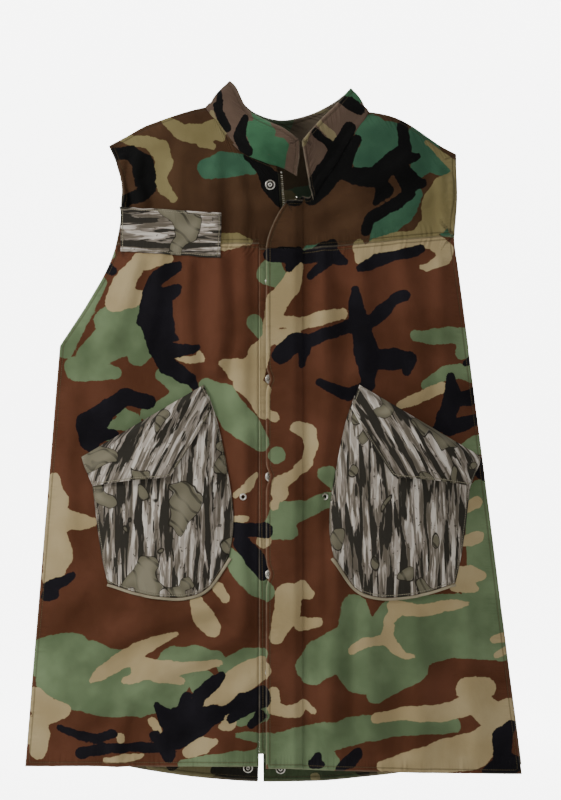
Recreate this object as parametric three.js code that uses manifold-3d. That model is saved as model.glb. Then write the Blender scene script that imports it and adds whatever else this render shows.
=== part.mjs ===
// A sleeveless field vest (fishing vest) hanging on a hanger, in millimetres.
// +X is the wearer's left, -Y is the front, +Z is up. The origin is the point between the shoulders
// where a hanger carries it. Each cloth piece is a sheet laid on the draped body surface.
import * as THREE from 'three';
import Module from 'manifold-3d';
import { mergeVertices } from 'three/addons/utils/BufferGeometryUtils.js';

const wasm = await Module();
wasm.setup();

// ---------------------------------------------------------------- driving dimensions
const CLOTH = 1.6; // thickness of a shell piece
const FACING = 1.0; // thickness of an inner facing, casing or zip tape
const GAP = 0.3; // clearance between neighbours
const SEAM = 0.5; // gap between two pieces that meet at a seam
const BAND_GAP = 0.8; // gap between a shell piece and the band sewn inside it

const BODY_LENGTH = 945; // origin down to the front hem
const TAIL_DROP = 31; // how far the back tail hangs below the front hem
const YOKE_DEPTH = 188; // origin down to the yoke seam
const YOKE_SLOPE = 0.1; // rise of the wearer's left yoke seam towards the armhole
const FLAP_SEAM_DROP = 8.5; // the yoke seam is this much lower under the storm flap
const SHOULDER_HEIGHT = 12; // virtual shoulder ridge over the neck opening
const SHOULDER_ROUND = 30; // how quickly the cloth turns down over the shoulder

const FRONT_DEPTH = 40; // front of the chest before the shoulder line
const FRONT_FLARE = 0.037; // how much further forward each millimetre of drop lies
const BACK_DEPTH = 34;
const BACK_FLARE = 0.032;
const FLARE_START = 140; // depth below the origin where the flare begins
const ARM_LENS = 325; // half width the lens section has beside the armholes
const ARM_BLEND = 110; // height over which the section widens above the armpit

// Each side: the shoulder line as [x, z], the armhole edge as [z, x], the side seam's two ends.
const SIDES = {
  right: {
    sign: -1,
    shoulder: [[0, SHOULDER_HEIGHT], [101, 11], [190, -15], [226, -34], [249, -46]],
    armhole: [[-46, 249], [-90, 233], [-131, 229], [-175, 235], [-215, 247], [-270, 277], [-336, 321]],
    seam: { top: [321, -336], slope: 0.083 },
  },
  left: {
    sign: 1,
    shoulder: [[0, SHOULDER_HEIGHT], [123, 4], [175, -8], [234, -46], [257, -58]],
    armhole: [[-58, 257], [-124, 257], [-191, 254], [-239, 260], [-296, 268], [-345, 275]],
    seam: { top: [275, -345], slope: 0.13 },
  },
};
const NECK_X = { right: 101, left: 123 }; // side neck points
const NECK_FRONT = [[-101, 11], [-84, -20], [-57, -50], [-20, -69], [3, -77], [6, -79]];
const NECK_LEFT = [[30, -119], [44, -121], [53, -104], [66, -83], [88, -54], [107, -23], [123, 4]];
const NECK_BACK = [[-101, 11], [-72, -24], [-38, -42], [4, -50], [50, -42], [90, -20], [123, 4]];

const ZIP_X = 10; // centre line of the closed zip
const ZIP_SPLIT = 150; // depth where the two chains part
const ZIP_END = BODY_LENGTH - 19; // depth of the lower end of the chain
const CHAIN_WIDTH = 3.4; // one half of the chain
const CHAIN_FRONT = 1.9;
const CHAIN_BACK = -0.9;
const TAPE_WIDTH = 16;
const TAPE_EDGE = 4.4; // tape edge to zip centre line
const PANEL_EDGE = 5.5; // panel edge to zip centre line
const NECK_EDGE = 2.5; // extra distance where the chains part
const RIGHT_TOP = 84; // depth of the upper end of each chain
const LEFT_TOP = 120;

const UNDERLAP_X = -30; // seam between the right front and the underlap that carries the studs
const FLAP_EDGE_X = -20; // free edge of the storm flap
const FLAP_HINGE_X = 32; // line of stitches that holds the storm flap
const FLAP_RAMP = 14; // width over which the flap rises from its stitches
const FLAP_LIFT = 8.5; // inner face of the storm flap above the body surface
const FLAP_TOP = 126; // depth of the flap's upper corner
const SNAP_X = -14;
const SNAP_FIRST = 104; // depth of the top snap
const SNAP_PITCH = 141;
const SNAP_COUNT = 6;
const SNAP_RADIUS = 7.4;

const WAIST_DEPTH = 556; // centre of the drawcord casing
const CASING_HEIGHT = 30;
const EYELET_X = { right: -53, left: 65 };
const EYELET_HOLE = 2.6;
const HEM_HEIGHT = 25;
const TAIL_SPLIT_X = -28;
const TAIL_SPLIT_WIDTH = 8;
const TAIL_SPLIT_TOP = BODY_LENGTH - 65;
const TAIL_WIDTH = 250; // half width of the dropped tail
const TAIL_SNAPS = {
  right_tail_stud: [-47, -BODY_LENGTH - 13],
  left_tail_stud: [1, -BODY_LENGTH - 15],
};

// Pocket, given for the wearer's left and mirrored for the right: x outwards, z down.
const POCKET = {
  mouth: [103, -410],
  mouthEnd: [276, -509],
  inner: [[0, 103], [52, 89], [150, 72], [211, 67], [280, 80]], // [drop, x] of the inner side
  outer: [[0, 276], [28, 272], [112, 262], [159, 255], [230, 240]], // [drop, x] of the outer side
  depth: [[0, 250], [0.15, 276], [0.35, 272], [0.6, 250], [0.8, 225], [1, 188]], // [across, drop]
  puff: 17,
  lift: 4.5, // room for the snap between pouch and flap
  shift: { right: 0, left: 5 }, // the wearer's left pocket sits this much further out
};
const FLAP = {
  top: [110, -394],
  topEnd: [288, -499],
  depth: [[0, 34], [0.1, 57], [0.3, 94], [0.34, 98], [0.6, 75], [1, 42]],
  taper: [12, 18], // how far the inner and outer corners move in
  rise: 13, // drop over which the flap clears the mouth of the pouch
  crowd: 1.6, // rows of the flap crowd towards its stitches
};
const PATCH = { low: [-231, -200], high: [-86, -134], slope: -0.075 };
const BINDING_WIDTH = 4;

const COLOURS = {
  camo: ['#5a4630', 0.9, 0],
  camoDark: ['#4a3a2a', 0.9, 0],
  lining: ['#5d5a44', 0.9, 0],
  bark: ['#8b8374', 0.9, 0],
  tape: ['#2b2c25', 0.8, 0],
  binding: ['#a89c80', 0.9, 0],
  brass: ['#8a8168', 0.4, 0.9],
  nickel: ['#c9c6bd', 0.3, 1],
};

// ---------------------------------------------------------------- small maths
const lerp = (a, b, t) => a + (b - a) * t;
const clamp = (t, low, high) => Math.min(high, Math.max(low, t));
function smooth(t) {
  const s = clamp(t, 0, 1);
  return s * s * (3 - 2 * s);
}

// A smooth curve of value against position through [position, value] points.
function curve(points) {
  const rows = [...points].sort((a, b) => a[0] - b[0]);
  const slope = rows.map((row, i) => {
    const before = rows[Math.max(0, i - 1)];
    const after = rows[Math.min(rows.length - 1, i + 1)];
    return (after[1] - before[1]) / (after[0] - before[0]);
  });
  return (position) => {
    const at = clamp(position, rows[0][0], rows[rows.length - 1][0]);
    let i = rows.findIndex((row) => row[0] >= at);
    i = Math.max(1, i);
    const [x0, y0] = rows[i - 1];
    const [x1, y1] = rows[i];
    const width = x1 - x0;
    const t = (at - x0) / width;
    const h00 = (1 + 2 * t) * (1 - t) ** 2;
    const h10 = t * (1 - t) ** 2;
    const h01 = t * t * (3 - 2 * t);
    const h11 = t * t * (t - 1);
    return h00 * y0 + h10 * width * slope[i - 1] + h01 * y1 + h11 * width * slope[i];
  };
}

// ---------------------------------------------------------------- the body surface
const shoulderLine = { right: curve(SIDES.right.shoulder), left: curve(SIDES.left.shoulder) };
const armholeEdge = { right: curve(SIDES.right.armhole), left: curve(SIDES.left.armhole) };
const neckline = { right: curve(NECK_FRONT), left: curve(NECK_LEFT), back: curve(NECK_BACK) };
const sideOf = (x) => (x < 0 ? 'right' : 'left');

function seamX(side, z) {
  const [x, top] = SIDES[side].seam.top;
  return x + (top - z) * SIDES[side].seam.slope;
}

// Outer edge of the shell at a height: the armhole above the armpit, the side seam below it.
function edgeX(side, z) {
  return z > SIDES[side].seam.top[1] ? armholeEdge[side](z) : seamX(side, z);
}

function lensHalf(side, z) {
  const [, armpit] = SIDES[side].seam.top;
  return lerp(seamX(side, Math.min(z, armpit)), ARM_LENS, smooth((z - armpit) / ARM_BLEND));
}

function bodyY(front, x, z) {
  const side = sideOf(x);
  const u = clamp(Math.abs(x) / lensHalf(side, z), 0, 1);
  const flare = Math.max(0, -z - FLARE_START);
  const depth = front ? FRONT_DEPTH + FRONT_FLARE * flare : BACK_DEPTH + BACK_FLARE * flare;
  const below = shoulderLine[side](Math.abs(x)) - z;
  const round = 1 - Math.exp(-Math.max(0, below) / SHOULDER_ROUND);
  return (front ? -1 : 1) * depth * (1 - u * u) * round;
}

const onBody = (front, x, z) => new THREE.Vector3(x, bodyY(front, x, z), z);

function bodyNormal(front, x, z) {
  const step = 0.5;
  const across = onBody(front, x + step, z).sub(onBody(front, x - step, z));
  const up = onBody(front, x, z + step).sub(onBody(front, x, z - step));
  return across.cross(up).multiplyScalar(front ? 1 : -1).normalize();
}

// ---------------------------------------------------------------- meshes
const vest = new THREE.Group();

function add(name, geometry, look) {
  const [color, roughness, metalness] = COLOURS[look];
  const mesh = new THREE.Mesh(geometry, new THREE.MeshStandardMaterial({ color, roughness, metalness }));
  mesh.name = name;
  vest.add(mesh);
  return mesh;
}

// A closed sheet: P(u, v) is its reference surface, low and high its two faces along the normal.
function sheet(point, columns, rows, low, high) {
  const geometry = new THREE.BoxGeometry(1, 1, 1, columns, rows, 1);
  const places = geometry.attributes.position;
  const step = 0.002;
  for (let i = 0; i < places.count; i += 1) {
    const u = places.getX(i) + 0.5;
    const v = places.getY(i) + 0.5;
    const across = point(Math.min(1, u + step), v).sub(point(Math.max(0, u - step), v));
    const up = point(u, Math.min(1, v + step)).sub(point(u, Math.max(0, v - step)));
    const normal = across.cross(up).normalize();
    const offset = places.getZ(i) > 0 ? high : low;
    const at = point(u, v).addScaledVector(normal, typeof offset === 'function' ? offset(u, v) : offset);
    places.setXYZ(i, at.x, at.y, at.z);
  }
  return geometry;
}

function toSolid(geometry) {
  const bare = geometry.clone();
  bare.deleteAttribute('normal');
  bare.deleteAttribute('uv');
  const merged = mergeVertices(bare, 1e-4);
  const vertProperties = new Float32Array(merged.attributes.position.array);
  const triVerts = new Uint32Array(merged.index.array);
  return new wasm.Manifold(new wasm.Mesh({ numProp: 3, vertProperties, triVerts }));
}

function toGeometry(solid) {
  const mesh = solid.getMesh();
  const geometry = new THREE.BufferGeometry();
  geometry.setAttribute('position', new THREE.BufferAttribute(new Float32Array(mesh.vertProperties), 3));
  geometry.setIndex(new THREE.BufferAttribute(new Uint32Array(mesh.triVerts), 1));
  return geometry;
}

// A turned piece whose axis is local +Z.
function turned(profile, segments = 10) {
  const points = profile.map(([r, z]) => new THREE.Vector2(r, z));
  return new THREE.LatheGeometry(points, segments).rotateX(Math.PI / 2);
}

// Puts a small piece on the body surface: local +Z is the outward normal, local +Y points up.
function seat(mesh, front, x, z, offset) {
  const normal = bodyNormal(front, x, z);
  const right = new THREE.Vector3(0, 0, 1).cross(normal).normalize();
  const up = normal.clone().cross(right);
  mesh.quaternion.setFromRotationMatrix(new THREE.Matrix4().makeBasis(right, up, normal));
  mesh.position.copy(onBody(front, x, z).addScaledVector(normal, offset));
  return mesh;
}

// ---------------------------------------------------------------- lines on the shell
function yokeZ(x) {
  if (x < UNDERLAP_X) return -YOKE_DEPTH;
  const rise = Math.max(0, x - FLAP_HINGE_X - 2);
  return -YOKE_DEPTH - FLAP_SEAM_DROP + YOKE_SLOPE * rise;
}

function frontHemZ(x) {
  const right = -BODY_LENGTH - 6 * (x / 378) ** 2;
  const left = -BODY_LENGTH - 3 - 0.04 * x;
  return x < 0 ? right : left;
}

function backHemZ(x) {
  const tail = clamp(1 - (x / TAIL_WIDTH) ** 2, 0, 1);
  return -BODY_LENGTH - 3 - TAIL_DROP * tail;
}

const chainX = {
  right: curve([[-ZIP_SPLIT, ZIP_X], [-142, ZIP_X - 1.5], [-120, ZIP_X - 3], [-RIGHT_TOP, ZIP_X - 6]]),
  left: curve([[-ZIP_SPLIT, ZIP_X], [-142, ZIP_X + 1.6], [-LEFT_TOP, ZIP_X + 14]]),
};
function innerEdge(side, z) {
  const extra = NECK_EDGE * smooth((z + ZIP_SPLIT + 30) / 30);
  return chainX[side](z) + SIDES[side].sign * (PANEL_EDGE + extra);
}

// Top line of a front yoke: the shoulder outside the side neck point, the neckline inside it.
function yokeTopZ(side, x) {
  const out = Math.abs(x);
  return out > NECK_X[side] ? shoulderLine[side](out) - GAP : neckline[side](x);
}

// ---------------------------------------------------------------- shell pieces
// Columns of a front yoke fall on its corners: armhole edge, side neck point, the step of the seam
// beside the storm flap, then the inner edge. Rows crowd towards the shoulder.
const crowd = (v) => 1 - (1 - v) ** 1.5;
const YOKE_COLUMNS = { right: [0, 6, 9, 10, 12], left: [0, 6, 9, 10, 12] };

function yokePoint(side, u, v) {
  const { sign, shoulder } = SIDES[side];
  const tip = shoulder[shoulder.length - 1];
  const step = side === 'right' ? UNDERLAP_X : FLAP_HINGE_X + 12;
  const inward = sign < 0 ? u : 1 - u;
  const xs = (t) => {
    const endZ = lerp(yokeZ(ZIP_X), neckEndZ(side), t);
    const outer = sign * edgeX(side, lerp(-YOKE_DEPTH, tip[1], t));
    const neck = sign * NECK_X[side];
    return [outer, neck, step + sign * GAP, step - sign * 2 * GAP, innerEdge(side, endZ)];
  };
  const columns = YOKE_COLUMNS[side];
  const at = inward * columns[columns.length - 1];
  let i = 1;
  while (i < columns.length - 1 && at > columns[i]) i += 1;
  const share = (at - columns[i - 1]) / (columns[i] - columns[i - 1]);
  const places = xs(v);
  const x = lerp(places[i - 1], places[i], share);
  return onBody(true, x, lerp(yokeZ(x), yokeTopZ(side, x), v));
}

function neckEndZ(side) {
  return side === 'right' ? -RIGHT_TOP + 5 : -LEFT_TOP + 1;
}

function addYokes() {
  for (const side of ['right', 'left']) {
    const point = (u, v) => yokePoint(side, u, crowd(v));
    add(`${side}_front_yoke`, sheet(point, 12, 6, 0, CLOTH), 'camoDark');
  }
  const backTop = (x) => {
    const out = Math.abs(x);
    const side = sideOf(x);
    return out > NECK_X[side] ? shoulderLine[side](out) - GAP : neckline.back(x);
  };
  const point = (u, row) => {
    const v = crowd(row);
    const across = 2 * u - 1;
    const side = across > 0 ? 'right' : 'left';
    const { sign, shoulder } = SIDES[side];
    const tip = shoulder[shoulder.length - 1];
    const outer = sign * edgeX(side, lerp(-YOKE_DEPTH, tip[1], v));
    const neck = sign * NECK_X[side];
    const share = 0.5;
    const out = Math.abs(across);
    const x = out < share ? lerp(0, neck, out / share) : lerp(neck, outer, (out - share) / (1 - share));
    return onBody(false, x, lerp(-YOKE_DEPTH, backTop(x), v));
  };
  add('back_yoke', sheet(point, 12, 5, 0, CLOTH), 'camoDark');
}

// A lower shell piece between two x limits, each a function of height.
function lowerPoint(front, left, right, top, hem) {
  return (u, v) => {
    const across = front ? u : 1 - u;
    const nominal = lerp(-BODY_LENGTH, -YOKE_DEPTH, v);
    const x = lerp(left(nominal), right(nominal), across);
    return onBody(front, x, lerp(hem(x), top(x), v));
  };
}

const cutHole = (geometry, x, z) => {
  const drill = new THREE.CylinderGeometry(EYELET_HOLE + 1 + GAP, EYELET_HOLE + 1 + GAP, 30, 12);
  drill.translate(x, bodyY(true, x, z), z);
  return toGeometry(toSolid(geometry).subtract(toSolid(drill)));
};

function addFronts() {
  const outerRight = (z) => -edgeX('right', z) + GAP;
  const outerLeft = (z) => edgeX('left', z) - GAP;
  const top = (x) => yokeZ(x) - SEAM;
  const waist = -WAIST_DEPTH;

  const right = lowerPoint(true, outerRight, () => UNDERLAP_X - GAP, top, frontHemZ);
  const rightSheet = sheet(right, 9, 11, 0, CLOTH);
  add('right_front_panel', cutHole(rightSheet, EYELET_X.right, waist), 'camo');

  const underlap = lowerPoint(true, () => UNDERLAP_X + GAP, () => ZIP_X - PANEL_EDGE, top, () => -ZIP_END - 1);
  add('right_underlap', sheet(underlap, 2, 10, 0, CLOTH), 'camo');

  const left = lowerPoint(true, () => ZIP_X + PANEL_EDGE, outerLeft, top, frontHemZ);
  const leftSheet = sheet(left, 9, 11, 0, CLOTH);
  add('left_front_panel', cutHole(leftSheet, EYELET_X.left, waist), 'camo');
}

function splitTail(geometry) {
  const height = 200;
  const cutter = new THREE.BoxGeometry(TAIL_SPLIT_WIDTH, 200, height);
  cutter.translate(TAIL_SPLIT_X, 60, -TAIL_SPLIT_TOP - height / 2);
  return toGeometry(toSolid(geometry).subtract(toSolid(cutter)));
}

function addBack() {
  const left = (z) => -edgeX('right', z) + GAP;
  const right = (z) => edgeX('left', z) - GAP;
  const point = lowerPoint(false, left, right, () => -YOKE_DEPTH - SEAM, backHemZ);
  add('back_panel', splitTail(sheet(point, 12, 11, 0, CLOTH)), 'camo');
}

// An inner band on a shell piece: facing, casing or hem.
function band(front, left, right, low, high, columns) {
  const point = (u, v) => {
    const x = lerp(left, right, front ? u : 1 - u);
    return onBody(front, x, lerp(low(x), high(x), v));
  };
  return sheet(point, columns, 1, -BAND_GAP - FACING, -BAND_GAP);
}

function addInnerBands() {
  const inset = 8;
  const low = () => -WAIST_DEPTH - CASING_HEIGHT / 2;
  const high = () => -WAIST_DEPTH + CASING_HEIGHT / 2;
  const waistRight = seamX('right', -WAIST_DEPTH) - inset;
  const waistLeft = seamX('left', -WAIST_DEPTH) - inset;
  const casingRight = band(true, -waistRight, EYELET_X.right - 4 * EYELET_HOLE, low, high, 8);
  const casingLeft = band(true, EYELET_X.left + 4 * EYELET_HOLE, waistLeft, low, high, 8);
  add('right_waist_casing', casingRight, 'lining');
  add('left_waist_casing', casingLeft, 'lining');
  add('back_waist_casing', band(false, -waistRight, waistLeft, low, high, 12), 'lining');

  const rise = 1.5;
  const hemRight = seamX('right', -BODY_LENGTH) - inset;
  const hemLeft = seamX('left', -BODY_LENGTH) - inset;
  const frontLow = (x) => frontHemZ(x) + rise;
  const frontHigh = (x) => frontHemZ(x) + HEM_HEIGHT;
  const backLow = (x) => backHemZ(x) + rise;
  const backHigh = (x) => backHemZ(x) + HEM_HEIGHT;
  const besideZip = ZIP_X + TAPE_EDGE + TAPE_WIDTH + 2;
  add('right_hem_facing', band(true, -hemRight, UNDERLAP_X - 1, frontLow, frontHigh, 8), 'lining');
  add('left_hem_facing', band(true, besideZip, hemLeft, frontLow, frontHigh, 8), 'lining');
  const tailHem = splitTail(band(false, TAIL_SPLIT_X - 6, hemLeft, backLow, backHigh, 10));
  const right = band(false, -hemRight, TAIL_SPLIT_X - TAIL_SPLIT_WIDTH / 2, backLow, backHigh, 10);
  add('left_tail_facing', keepLargest(tailHem), 'lining');
  add('right_tail_facing', right, 'lining');
}

function keepLargest(geometry) {
  const pieces = toSolid(geometry).decompose();
  pieces.sort((a, b) => b.volume() - a.volume());
  return toGeometry(pieces[0]);
}

// ---------------------------------------------------------------- collar
// Points round the neck from the wearer's left front end to the right front end. The base lies on
// the neckline; the top is where the stand of the collar falls.
const COLLAR_BASE = [
  [44, -121, 'front'], [58, -97, 'front'], [78, -68, 'front'], [98, -35, 'front'], [117, -8, 'front'],
  [123, 4, 'back'], [112, -6, 'back'], [86, -24, 'back'], [48, -42, 'back'], [4, -50, 'back'],
  [-38, -42, 'back'], [-72, -24, 'back'], [-93, 0, 'back'], [-101, 10, 'front'], [-91, -4, 'front'],
  [-57, -50, 'front'], [-20, -69, 'front'], [3, -77, 'front'], [24, -90, 'front'],
];
const COLLAR_TOP = [
  [32, -50, -41], [44, -47, -26], [60, -39, -8], [80, -29, 12], [96, -14, 31],
  [102, 0, 38], [96, 12, 32], [76, 22, 18], [42, 28, 2], [2, 31, -6],
  [-34, 28, 4], [-56, 20, 22], [-68, 9, 42], [-72, -4, 48], [-64, -18, 40],
  [-46, -31, 6], [-18, -38, -11], [6, -41, -22], [28, -41, -39],
];
const COLLAR_STAND_OFF = 4; // base of the collar above the neckline

function addCollar() {
  const base = COLLAR_BASE.map(([x, z, face]) => onBody(face === 'front', x, z));
  for (const point of base) point.z += COLLAR_STAND_OFF;
  const top = COLLAR_TOP.map(([x, y, z]) => new THREE.Vector3(x, y, z));
  const foot = new THREE.CatmullRomCurve3(base);
  const head = new THREE.CatmullRomCurve3(top);
  const point = (u, v) => foot.getPoint(u).lerp(head.getPoint(u), v);
  add('collar_outer', sheet(point, 40, 2, SEAM, SEAM + CLOTH), 'camoDark');
  add('collar_lining', sheet(point, 40, 2, -SEAM - CLOTH, -SEAM), 'camoDark');

  const loop = new THREE.CatmullRomCurve3([
    new THREE.Vector3(-16, 24.5, -44), new THREE.Vector3(-14, 22, -58),
    new THREE.Vector3(14, 22, -60), new THREE.Vector3(22, 24.5, -46),
  ]);
  const section = new THREE.Shape([
    new THREE.Vector2(-0.6, -2.5), new THREE.Vector2(0.6, -2.5),
    new THREE.Vector2(0.6, 2.5), new THREE.Vector2(-0.6, 2.5),
  ]);
  const strap = { steps: 12, bevelEnabled: false, extrudePath: loop };
  add('hanger_loop', new THREE.ExtrudeGeometry(section, strap), 'tape');
}

// ---------------------------------------------------------------- storm flap
function flapOffset(x) {
  const out = FLAP_HINGE_X + 1 - x;
  return lerp(CLOTH + GAP, FLAP_LIFT, smooth(out / FLAP_RAMP));
}

function flapSheet(left, low, high, rows) {
  const right = FLAP_HINGE_X + 1;
  const point = (u, v) => {
    const x = lerp(left(v), right, u);
    const z = lerp(low, high(x), v);
    return onBody(true, x, z).addScaledVector(bodyNormal(true, x, z), flapOffset(x));
  };
  return sheet(point, 5, rows, 0, CLOTH);
}

function addStormFlap() {
  const seamZ = yokeZ(ZIP_X);
  const corner = ZIP_X;
  const rolled = (v) => lerp(FLAP_EDGE_X, corner, v ** 1.6);
  add('storm_flap_top', flapSheet(rolled, seamZ, () => -FLAP_TOP, 5), 'camoDark');
  add('storm_flap', flapSheet(() => FLAP_EDGE_X, frontHemZ(0), () => seamZ - SEAM, 11), 'camo');
}

// ---------------------------------------------------------------- zip
function addZip() {
  const top = { right: RIGHT_TOP, left: LEFT_TOP };
  for (const side of ['right', 'left']) {
    const { sign } = SIDES[side];
    const strip = (near, far, low, high) => (u, v) => {
      const z = lerp(low, high, v);
      const inner = chainX[side](z) + sign * near;
      const outer = chainX[side](z) + sign * far;
      const x = sign < 0 ? lerp(outer, inner, u) : lerp(inner, outer, u);
      return onBody(true, x, z);
    };
    const tape = strip(TAPE_EDGE, TAPE_EDGE + TAPE_WIDTH, -ZIP_END, -top[side] - 2);
    add(`${side}_zip_tape`, sheet(tape, 1, 24, -GAP - FACING, -GAP), 'tape');
    const chain = strip(GAP / 2, GAP / 2 + CHAIN_WIDTH, -ZIP_END + 12, -top[side] - 4);
    add(`${side}_zip_chain`, sheet(chain, 1, 24, CHAIN_BACK, CHAIN_FRONT), 'brass');

    const stop = new THREE.BoxGeometry(CHAIN_WIDTH - 0.8, 3, 2);
    const stopX = chainX[side](-top[side] - 2) + sign * (GAP / 2 + CHAIN_WIDTH / 2);
    seat(add(`${side}_top_stop`, stop, 'nickel'), true, stopX, -top[side] - 2.2, 1.1);
  }
  const end = new THREE.BoxGeometry(CHAIN_WIDTH, 11, 3);
  const pinX = ZIP_X - GAP / 2 - CHAIN_WIDTH / 2;
  const boxX = ZIP_X + GAP / 2 + CHAIN_WIDTH / 2;
  seat(add('zip_pin', end.clone(), 'nickel'), true, pinX, -ZIP_END + 6, 0.5);
  seat(add('zip_box', end.clone(), 'nickel'), true, boxX, -ZIP_END + 6, 0.5);
  addSlider();
}

const SLIDER = { width: 10.4, length: 13, plate: 1.2, post: 1, top: 2.3, bottom: -1.7 };
const BRIDGE = { width: 1.6, thick: 0.8, span: 6.4, height: 2.8 };
const PULL = { width: 6, length: 26, thick: 1.2, bar: 1.6, slot: [3.2, 3.6], gap: 0.4 };

function block(width, height, thick, x, y, z) {
  return toSolid(new THREE.BoxGeometry(width, height, thick).translate(x, y, z));
}

function addSlider() {
  const { width, length, plate, post, top, bottom } = SLIDER;
  const tall = top - bottom;
  let body = block(width, length, plate, 0, 0, top + plate / 2);
  body = body.add(block(width, length, plate, 0, 0, bottom - plate / 2));
  const postY = length / 2 - 0.8;
  body = body.add(block(post, 1.4, tall + plate, 0, postY, (top + bottom) / 2));
  const front = top + plate;
  const reach = BRIDGE.span / 2;
  for (const end of [-1, 1]) {
    body = body.add(block(BRIDGE.width, 1, BRIDGE.height + 0.4, 0, end * reach, front + BRIDGE.height / 2 - 0.2));
  }
  body = body.add(block(BRIDGE.width, BRIDGE.span + 1, BRIDGE.thick, 0, 0, front + BRIDGE.height));
  const sliderZ = -ZIP_SPLIT - 1;
  seat(add('zip_slider', toGeometry(body), 'brass'), true, ZIP_X, sliderZ, 0);

  const level = front + PULL.gap + PULL.thick / 2;
  let tab = block(PULL.width, PULL.length, PULL.thick, 0, PULL.bar / 2 - PULL.length / 2, level);
  const slotY = -PULL.bar / 2 - PULL.slot[1] / 2;
  tab = tab.subtract(block(PULL.slot[0], PULL.slot[1], 4, 0, slotY, level));
  seat(add('zip_pull', toGeometry(tab), 'brass'), true, ZIP_X, sliderZ, 0);
}

// ---------------------------------------------------------------- snaps and eyelets
const STUD = [[0, 0], [7.4, 0], [7.4, 0.6], [6.6, 1], [3.2, 1], [2.8, 2.5], [1.4, 2.6], [1.2, 1.3], [0, 1.3]];
const SOCKET = [[3.6, 0], [7.2, 0], [7.2, 0.9], [6.2, 1.6], [3.6, 1.6], [3.6, 0]];

const snapZ = (index) => -SNAP_FIRST - index * SNAP_PITCH;

function addSnaps() {
  for (let i = 0; i < SNAP_COUNT; i += 1) {
    const stud = add(`snap_stud_${i + 1}`, turned(STUD), 'nickel');
    seat(stud, true, SNAP_X, snapZ(i), CLOTH + GAP);
    const socket = add(`snap_socket_${i + 1}`, turned(SOCKET), 'nickel');
    const z = i === 0 ? -YOKE_DEPTH + SNAP_RADIUS + 2 : snapZ(i);
    const x = i === 0 ? SNAP_X + 8 : SNAP_X;
    seat(socket, true, x, z, FLAP_LIFT - GAP - 1.6);
  }
  for (const [name, [x, z]] of Object.entries(TAIL_SNAPS)) {
    const stud = add(name, turned(STUD), 'nickel');
    seat(stud, false, x, z, -2 * BAND_GAP - FACING);
    stud.rotateX(Math.PI);
  }
  const r = EYELET_HOLE;
  const ring = [[r, -1.1], [4.6, -1.1], [4.6, -GAP], [r + 1, -GAP], [r + 1, CLOTH + GAP],
    [4.9, CLOTH + GAP], [4.9, 2.4], [r, 2.8], [r, -1.1]];
  for (const side of ['right', 'left']) {
    seat(add(`${side}_eyelet`, turned(ring, 10), 'nickel'), true, EYELET_X[side], -WAIST_DEPTH, 0);
  }
}

// ---------------------------------------------------------------- pockets
const pocketInner = curve(POCKET.inner);
const pocketOuter = curve(POCKET.outer);
const pocketDepth = curve(POCKET.depth);
const flapDepth = curve(FLAP.depth);
const MOUTH_SLOPE = (POCKET.mouthEnd[1] - POCKET.mouth[1]) / (POCKET.mouthEnd[0] - POCKET.mouth[0]);
const FLAP_SLOPE = (FLAP.topEnd[1] - FLAP.top[1]) / (FLAP.topEnd[0] - FLAP.top[0]);
const mouthZ = (x) => POCKET.mouth[1] + MOUTH_SLOPE * (x - POCKET.mouth[0]);

function pocketPlace(across, down) {
  const drop = down * pocketDepth(across);
  const x = lerp(pocketInner(drop), pocketOuter(drop), across);
  return [x, mouthZ(x) - drop];
}

const crown = (across) => 1 - Math.abs(2 * clamp(across, 0, 1) - 1) ** 2.6;
const pocketPuff = (across, down) => POCKET.puff * crown(across) * (1 - clamp(down, 0, 1) ** 5);

function flapPlace(across, down) {
  const drop = down * flapDepth(across);
  const inner = FLAP.top[0] - FLAP.taper[0] * down;
  const outer = FLAP.topEnd[0] - FLAP.taper[1] * down;
  const x = lerp(inner, outer, across);
  const topX = lerp(FLAP.top[0], FLAP.topEnd[0], across);
  return [x, FLAP.top[1] + FLAP_SLOPE * (topX - FLAP.top[0]) - drop, drop];
}

// A pocket piece is worked out for the left side; the right side mirrors x and runs the other way.
function pocketSheet(side, place, offset, columns, rows) {
  const { sign } = SIDES[side];
  const point = (u, v) => {
    const across = sign > 0 ? u : 1 - u;
    const [x, z] = place(across, 1 - v);
    const at = sign * (x + POCKET.shift[side]);
    return onBody(true, at, z).addScaledVector(bodyNormal(true, at, z), offset(across, 1 - v));
  };
  return sheet(point, columns, rows, 0, CLOTH);
}

function flapHeight(across, down) {
  const [x, z, drop] = flapPlace(across, down);
  const below = mouthZ(x) - z;
  const puff = pocketPuff(across, below / pocketDepth(across));
  const clear = puff + CLOTH + 4 * GAP + POCKET.lift * crown(across);
  return CLOTH + GAP + clear * smooth(drop / FLAP.rise);
}

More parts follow.
